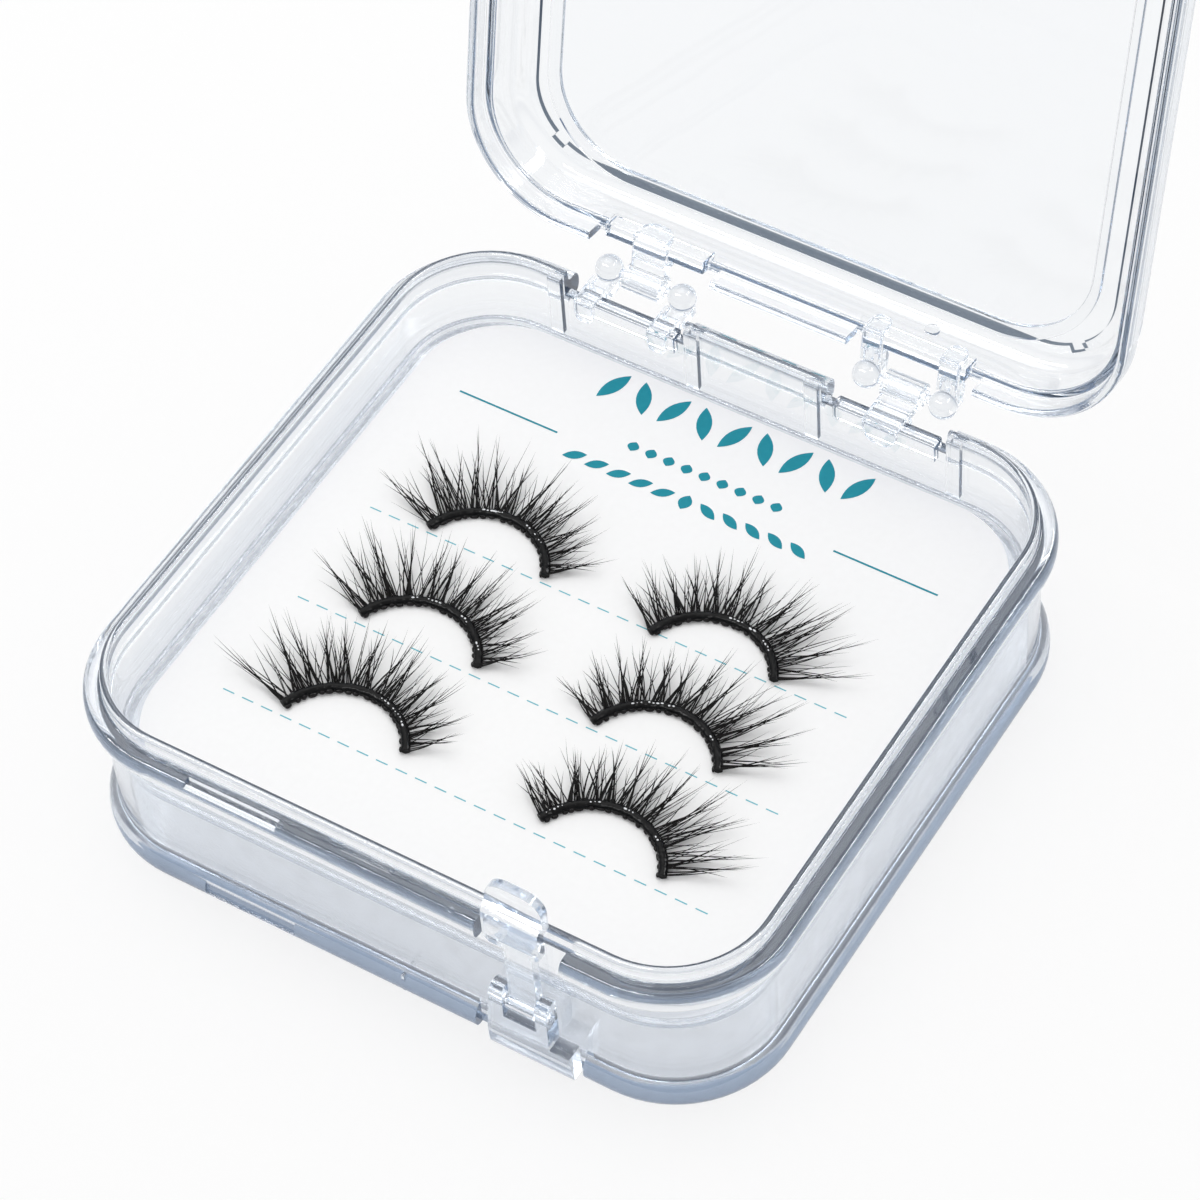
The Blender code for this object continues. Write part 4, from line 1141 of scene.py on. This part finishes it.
def bent_points(points, root, middle, tip, radius):
    """Lay the unit fibre's points along a fibre's curve."""
    placed = []
    for point in points:
        t = point.z
        centre = root * (1 - t) ** 2 + middle * 2 * t * (1 - t) + tip * t**2
        ahead = ((middle - root) * (1 - t) + (tip - middle) * t).normalized()
        across = ahead.cross(Vector((0, 0, 1))).normalized()
        above = across.cross(ahead)
        placed.append(centre + (across * point.x + above * point.y) * radius)
    return placed


def drop_of_glue():
    """A drop of unit radius."""
    bpy.ops.object.select_all(action="DESELECT")
    bpy.ops.mesh.primitive_ico_sphere_add(subdivisions=2, radius=1, location=(0, 0, 0))
    bpy.context.object.name = "drop"
    return bpy.context.object


def drop_matrix(place, share, along, across, above):
    """Where a drop lies at a share of the band, and its three half sizes."""
    turn = Matrix.Rotation(math.radians(-fan_at(share)), 4, "Z")
    return Matrix.Translation(place) @ turn @ Matrix.Diagonal((along, across, above, 1))


def lash_glint_specks(name, chance):
    """Pale specks on top of the band, in short rows: painted glints, near-white drops that stand in for the glossy
    band's highlights.
    """
    model = drop_of_glue()
    specks = []
    for _ in range(4):
        start = chance.uniform(0.04, 0.9)
        for step in range(chance.randint(2, 5)):
            share = start + step * 0.024
            if share > 0.97:
                continue
            size = chance.uniform(0.06, 0.13) * MM
            place = arc_point(share, LASH_RADIUS - BAND_WIDTH * chance.uniform(0.45, 0.6))
            place.z = BAND_HEIGHT + 0.01 * MM
            along = size * chance.uniform(1.0, 1.9)
            copy_to(model, drop_matrix(place, share, along, size, size * 0.6), specks)
    bpy.data.objects.remove(model, do_unlink=True)
    return join_pieces(name, specks)


def lash_glue_beads(name, chance):
    """Beads of half-dried glue and thread turns along the band's inner edge."""
    model = drop_of_glue()
    beads = []
    count = 19
    for index in range(count):
        share = (index + 0.5 + chance.uniform(-0.25, 0.25)) / count
        along = chance.uniform(0.3, 0.55) * MM
        across = chance.uniform(0.16, 0.26) * MM
        place = arc_point(share, LASH_RADIUS - BAND_WIDTH + 0.02 * MM)
        place.z = chance.uniform(0.2, 0.45) * MM
        above = chance.uniform(0.2, 0.4) * MM
        copy_to(model, drop_matrix(place, share, along, across, above), beads)
    bpy.data.objects.remove(model, do_unlink=True)
    return join_pieces(name, beads)


class LASHCASE_OT_lashes(Operator):
    """Build the six half lashes: glossy glue bands, thread and fine fibres"""

    bl_idname = "lashcase.lashes"
    bl_label = "Lashes"

    def execute(self, context):
        settings = context.scene.lash_fibres
        glue = latex_glue()
        thin_glue = latex_glue("latex_glue_thin", "#1d1b1c", 0.22)
        # Near-white drops on top of the band are painted glints
        painted_glint_glue = latex_glue("latex_glue_painted_glint", "#e9ebee", 0.25)
        fibre = lash_fibre()
        model = unit_fibre()
        model_points = [vert.co.copy() for vert in model.data.vertices]
        model_faces = [tuple(face.vertices) for face in model.data.polygons]
        bpy.data.objects.remove(model, do_unlink=True)
        for number in range(1, 7):
            at, outer = lash_place(number)
            chance = random.Random(40 + number)
            lines = lash_lines(settings, outer, chance)
            points, faces = [], []
            for line in lines:
                start = len(points)
                points += bent_points(model_points, *line)
                faces += [tuple(start + corner for corner in face) for face in model_faces]
            mesh = bpy.data.meshes.new("lash_fine_fibres_%d" % number)
            mesh.from_pydata(points, [], faces)
            mesh.transform(at)
            piece = bpy.data.objects.new(mesh.name, mesh)
            context.scene.collection.objects.link(piece)
            name = "lash_fibres_%d" % number
            finish_piece(piece, fibre, "base", "black_fibre", name, smooth=ROUND_SMOOTH)
            band = make_band("lash_band_%d" % number)
            band.data.transform(at)
            name = "lash_glue_band_%d" % number
            finish_piece(band, glue, "base", "black_glue", name, smooth=ROUND_SMOOTH)
            beads = lash_glue_beads("lash_beads_%d" % number, chance)
            beads.data.transform(at)
            finish_piece(beads, thin_glue, "base", "black_glue", smooth=ROUND_SMOOTH)
            # Painted glints: pale specks on top of the band
            specks = lash_glint_specks("lash_specks_%d" % number, chance)
            specks.data.transform(at)
            finish_piece(specks, painted_glint_glue, "base", "black_glue", smooth=ROUND_SMOOTH)
        return {"FINISHED"}


def make_band(name):
    """An oval band of glue bent along the arc, with small lumps where thread is wound."""
    section = []
    for step in range(13):
        angle = 2 * math.pi * step / 12
        across = LASH_RISE + BAND_WIDTH / 2 * (math.cos(angle) - 1)
        section.append(Vector((0, across, BAND_HEIGHT / 2 * (1 + math.sin(angle)))))
    start_line(name, section[0])
    extend_line(section)
    bpy.ops.mesh.select_all(action="SELECT")
    centre = (0, LASH_RISE - LASH_RADIUS, 0)
    bpy.ops.mesh.spin(steps=120, angle=2 * LASH_HALF_ANGLE, center=centre, axis=(0, 0, 1))
    band = tidy_body()
    lumps = bpy.data.textures.new(name + "_lumps", "CLOUDS")
    lumps.noise_scale = 0.5 * MM
    lumps.noise_depth = 1
    apply_modifier(band, "DISPLACE", texture=lumps, strength=0.22 * MM, mid_level=0.5)
    at = Matrix.Translation(centre)
    band.data.transform(at @ Matrix.Rotation(LASH_HALF_ANGLE, 4, "Z") @ at.inverted())
    return band


class LASHCASE_OT_hinges(Operator):
    """Refine the saddle clips and turn the two ball-ended pins"""

    bl_idname = "lashcase.hinges"
    bl_label = "Hinges"

    def execute(self, context):
        clear = shared_clear()
        for body, nodes in (
            ("base", ("left_base_clip_a", "left_base_clip_b", "right_base_clip")),
            ("lid", ("left_lid_clip", "right_lid_clip_a", "right_lid_clip_b")),
        ):
            for node in nodes:
                piece = refined_copy("hinge_" + node, "fine_" + node, CLIP_ROUND)
                finish_piece(piece, clear, body, "clear_polystyrene", "hinge_" + node)
        for label, side in (("left", -1), ("right", 1)):
            middle = Vector((side * HINGE_X, HINGE_POINT.y, HINGE_POINT.z))
            neck = math.asin(PIN_RADIUS / BALL_RADIUS)
            half = []
            for step in range(13):
                angle = (math.pi - neck) * step / 12
                along = BALL_OFFSET + BALL_RADIUS * math.cos(angle)
                half.append((along, BALL_RADIUS * math.sin(angle)))
            line = half + [(-along, height) for along, height in half[::-1]]
            places = [middle + Vector((along, 0, height)) for along, height in line]
            start_line("hinge_pin_" + label, places[0])
            extend_line(places)
            bpy.ops.mesh.select_all(action="SELECT")
            bpy.ops.mesh.spin(steps=28, angle=2 * math.pi, center=middle, axis=(1, 0, 0))
            pin = tidy_body()
            node = "hinge_%s_pin" % label
            body = [name for name, held in frame_bodies().items() if node in held][0]
            finish_piece(pin, clear, body, "clear_polystyrene", node)
        return {"FINISHED"}


def frame_bodies():
    """Which CAD nodes each body holds."""
    return frame["record"]["behaviour"]["bodies"]


class LASHCASE_OT_latch(Operator):
    """Refine the latch bracket, its pin and the thumb lever"""

    bl_idname = "lashcase.latch"
    bl_label = "Latch"

    def execute(self, context):
        clear = shared_clear()
        for body, held in frame_bodies().items():
            for node in held:
                if node.startswith("latch_"):
                    piece = refined_copy(node, "fine_" + node, CLIP_ROUND)
                    finish_piece(piece, clear, body, "clear_polystyrene", node)
        return {"FINISHED"}


class LASHCASE_OT_stage(Operator):
    """Set the floor, the lamps, the world and the camera"""

    bl_idname = "lashcase.stage"
    bl_label = "Stage"

    def execute(self, context):
        settings = context.scene.lash_stage
        bpy.ops.object.select_all(action="DESELECT")
        bpy.ops.mesh.primitive_plane_add(size=FLOOR_SIZE, location=(0, 0, -FLOOR_DROP))
        floor = context.object
        floor.name = "paper_sweep"
        floor.data.materials.append(sweep_paper(settings))
        studio_world(context.scene, settings)
        bpy.ops.object.light_add(type="AREA", location=SOFTBOX_PLACE)
        key = context.object
        key.name = "overhead_softbox"
        key.data.shape = "SQUARE"
        key.data.size = SOFTBOX_SIZE
        key.data.energy = settings.key_power
        key.rotation_euler = (-Vector(SOFTBOX_PLACE)).to_track_quat("-Z", "Y").to_euler()
        strip_lamp("strip_left", (-0.26, -0.3, 0.62), (1, 0, 0), settings)
        strip_lamp("strip_right", (0.36, 0.38, 0.52), (0, 1, 0), settings)
        place_camera(context.scene)
        context.scene.view_settings.view_transform = "Standard"
        # Light is piped along the clear walls by many inner reflections, which count as glossy
        context.scene.cycles.max_bounces = 40
        context.scene.cycles.transmission_bounces = 28
        context.scene.cycles.glossy_bounces = 36
        context.scene.cycles.transparent_max_bounces = 24
        return {"FINISHED"}


def strip_lamp(name, place, along, settings):
    """A long narrow lamp aimed at the case, for the white lines along its edges."""
    bpy.ops.object.light_add(type="AREA", location=(0, 0, 0))
    lamp = bpy.context.object
    lamp.name = name
    back = Vector(place).normalized()
    side = (Vector(along) - back * back.dot(Vector(along))).normalized()
    turn = Matrix((side, back.cross(side), back)).transposed().to_4x4()
    lamp.matrix_world = Matrix.Translation(place) @ turn
    lamp.data.shape = "RECTANGLE"
    lamp.data.size = STRIP_LENGTH
    lamp.data.size_y = STRIP_WIDTH
    lamp.data.energy = settings.strip_power
    lamp.visible_diffuse = False


def painted_foot_shade(tree, place):
    """Painted shade that the paper has under the foot of the case, which the lip shows from above: a slate ring in
    the paper's colour that only rays through the plastic see.
    """
    folded = add_node(
        tree,
        "ShaderNodeVectorMath",
        {"operation": "ABSOLUTE"},
        {0: place.outputs["Object"]},
    )
    middle = (HALF_WIDTH - CASE_RADIUS, HALF_DEPTH - CASE_RADIUS, 1.0)
    beyond = add_node(
        tree,
        "ShaderNodeVectorMath",
        {"operation": "SUBTRACT", 1: middle},
        {0: folded.outputs[0]},
    )
    kept = add_node(
        tree,
        "ShaderNodeVectorMath",
        {"operation": "MAXIMUM", 1: (0, 0, 0)},
        {0: beyond.outputs[0]},
    )
    away = add_node(
        tree, "ShaderNodeVectorMath", {"operation": "LENGTH"}, {0: kept.outputs[0]}
    )
    share = add_node(
        tree,
        "ShaderNodeMath",
        {"operation": "DIVIDE", 1: SHADE_REACH},
        {0: away.outputs["Value"]},
    )
    ramp = add_node(tree, "ShaderNodeValToRGB", None, {"Fac": share.outputs[0]})
    stops = ramp.color_ramp
    stops.elements[0].color = linear_colour(PAINTED_FOOT_SHADE[0][1])
    stops.elements[1].color = linear_colour("#fefefe")
    for distance, code in PAINTED_FOOT_SHADE:
        stops.elements.new(distance * MM / SHADE_REACH).color = linear_colour(code)
    return ramp.outputs[0]


def sweep_paper(settings):
    """Matt white background paper, with a faint tooth."""
    material, tree, output = new_material("background_paper")
    place = add_node(tree, "ShaderNodeTexCoord")
    tooth = add_node(
        tree,
        "ShaderNodeTexNoise",
        {"Scale": 1 / (1.5 * MM), "Detail": 2.0},
        {"Vector": place.outputs["Object"]},
    )
    bump = add_node(
        tree,
        "ShaderNodeBump",
        {"Strength": 0.05, "Distance": 0.05 * MM},
        {"Height": tooth.outputs["Fac"]},
    )
    shader = add_node(
        tree,
        "ShaderNodeBsdfPrincipled",
        {"Base Color": settings.floor, "Roughness": 0.9, "Specular IOR Level": 0.1},
        {"Normal": bump.outputs["Normal"]},
    )
    path = add_node(tree, "ShaderNodeLightPath")
    shade = add_node(
        # Painted shade: rays through the plastic see the slate ring under the foot, other rays plain white
        tree,
        "ShaderNodeMixRGB",
        {"Color1": linear_colour("#fefefe")},
        {"Fac": path.outputs["Is Transmission Ray"], "Color2": painted_foot_shade(tree, place)},
    )
    white = add_node(
        tree, "ShaderNodeEmission", {"Strength": 1.0}, {"Color": shade.outputs[0]}
    )
    shiny = add_node(
        tree,
        "ShaderNodeMath",
        {"operation": "MAXIMUM"},
        {0: path.outputs["Is Glossy Ray"], 1: path.outputs["Is Transmission Ray"]},
    )
    seen = add_node(
        tree,
        "ShaderNodeMath",
        {"operation": "MAXIMUM"},
        {0: shiny.outputs[0], 1: path.outputs["Is Camera Ray"]},
    )
    share = add_node(
        tree, "ShaderNodeMath", {"operation": "MULTIPLY", 1: PAPER_WHITE}, {0: seen.outputs[0]}
    )
    surface = add_node(
        tree,
        "ShaderNodeMixShader",
        None,
        {0: share.outputs[0], 1: shader.outputs[0], 2: white.outputs[0]},
    )
    tree.links.new(surface.outputs[0], output.inputs["Surface"])
    return material


def studio_world(scene, settings):
    """White to the eye, an even fill on the object, and a soft sky for the gloss to show."""
    world = bpy.data.worlds.new("studio")
    world.use_nodes = True
    scene.world = world
    tree = world.node_tree
    tree.nodes.clear()
    place = add_node(tree, "ShaderNodeTexCoord")
    split = add_node(tree, "ShaderNodeSeparateXYZ", None, {0: place.outputs["Generated"]})
    ramp = add_node(tree, "ShaderNodeValToRGB", None, {"Fac": split.outputs["Z"]})
    stops = ramp.color_ramp
    stops.elements[0].position = 0.0
    stops.elements[0].color = linear_colour("#8492a9")
    stops.elements[1].position = 1.0
    stops.elements[1].color = linear_colour("#ffffff")
    for position, code in ((0.1, "#6a7993"), (0.24, "#e0e5ed"), (0.5, "#ffffff")):
        stops.elements.new(position).color = linear_colour(code)
    path = add_node(tree, "ShaderNodeLightPath")
    seen = add_node(
        tree,
        "ShaderNodeBackground",
        {"Color": linear_colour("#ffffff"), "Strength": 1.0},
    )
    gloss = add_node(tree, "ShaderNodeBackground", {"Strength": 1.0}, {"Color": ramp.outputs[0]})
    fill = add_node(
        tree,
        "ShaderNodeBackground",
        {"Color": linear_colour("#ffffff"), "Strength": settings.fill},
    )
    shiny = add_node(
        tree,
        "ShaderNodeMath",
        {"operation": "MAXIMUM"},
        {0: path.outputs["Is Glossy Ray"], 1: path.outputs["Is Transmission Ray"]},
    )
    first = add_node(
        tree,
        "ShaderNodeMixShader",
        None,
        {0: shiny.outputs[0], 1: fill.outputs[0], 2: gloss.outputs[0]},
    )
    second = add_node(
        tree,
        "ShaderNodeMixShader",
        None,
        {0: path.outputs["Is Camera Ray"], 1: first.outputs[0], 2: seen.outputs[0]},
    )
    output = add_node(tree, "ShaderNodeOutputWorld")
    tree.links.new(second.outputs[0], output.inputs["Surface"])


def place_camera(scene):
    """Look down on the open case from the front right, as a hand-held close view."""
    azimuth, elevation, roll = (math.radians(angle) for angle in CAMERA_ANGLES)
    back = Vector(
        (
            math.sin(azimuth) * math.cos(elevation),
            -math.cos(azimuth) * math.cos(elevation),
            math.sin(elevation),
        )
    )
    right = Vector((math.cos(azimuth), math.sin(azimuth), 0))
    up = back.cross(right)
    turned_right = right * math.cos(roll) + up * math.sin(roll)
    turned_up = up * math.cos(roll) - right * math.sin(roll)
    data = bpy.data.cameras.new("camera")
    data.sensor_width = SENSOR_WIDTH
    data.lens = FOCAL_PIXELS / FRAME_PIXELS * SENSOR_WIDTH
    data.clip_start = 0.01
    data.clip_end = 20.0
    camera = bpy.data.objects.new("camera", data)
    rows = Matrix((turned_right, turned_up, back)).transposed().to_4x4()
    place = Vector(CAMERA_TARGET) + back * CAMERA_DISTANCE
    camera.matrix_world = Matrix.Translation(place) @ rows
    scene.collection.objects.link(camera)
    scene.camera = camera


class LASHCASE_PT_panel(Panel):
    """Lists the steps and settings of the case"""

    bl_idname = "LASHCASE_PT_panel"
    bl_label = "Lash case"
    bl_space_type = "VIEW_3D"
    bl_region_type = "UI"
    bl_category = "Lash case"

    def draw(self, context):
        for step in STEPS:
            self.layout.operator("lashcase." + step)
        for group, _ in SETTINGS:
            values = getattr(context.scene, group)
            box = self.layout.box()
            for key in values.__annotations__:
                box.prop(values, key)


STEPS = (
    "base_tray",
    "lid_tray",
    "platform",
    "card",
    "card_print",
    "lashes",
    "hinges",
    "latch",
    "stage",
)
SETTINGS = (
    ("lash_shell", ShellSettings),
    ("lash_card", CardSettings),
    ("lash_fibres", LashSettings),
    ("lash_stage", StageSettings),
)
CLASSES = (
    ShellSettings,
    CardSettings,
    LashSettings,
    StageSettings,
    LASHCASE_OT_base_tray,
    LASHCASE_OT_lid_tray,
    LASHCASE_OT_platform,
    LASHCASE_OT_card,
    LASHCASE_OT_card_print,
    LASHCASE_OT_lashes,
    LASHCASE_OT_hinges,
    LASHCASE_OT_latch,
    LASHCASE_OT_stage,
    LASHCASE_PT_panel,
)


def register():
    """Add the settings, the steps and the panel."""
    for item in CLASSES:
        bpy.utils.register_class(item)
    for name, group in SETTINGS:
        setattr(bpy.types.Scene, name, PointerProperty(type=group))


def unregister():
    """Take them out again."""
    for name, _ in SETTINGS:
        delattr(bpy.types.Scene, name)
    for item in reversed(CLASSES):
        bpy.utils.unregister_class(item)


def main():
    """Run each step in order."""
    register()
    for step in STEPS:
        getattr(bpy.ops.lashcase, step)()


if __name__ == "__main__":
    main()
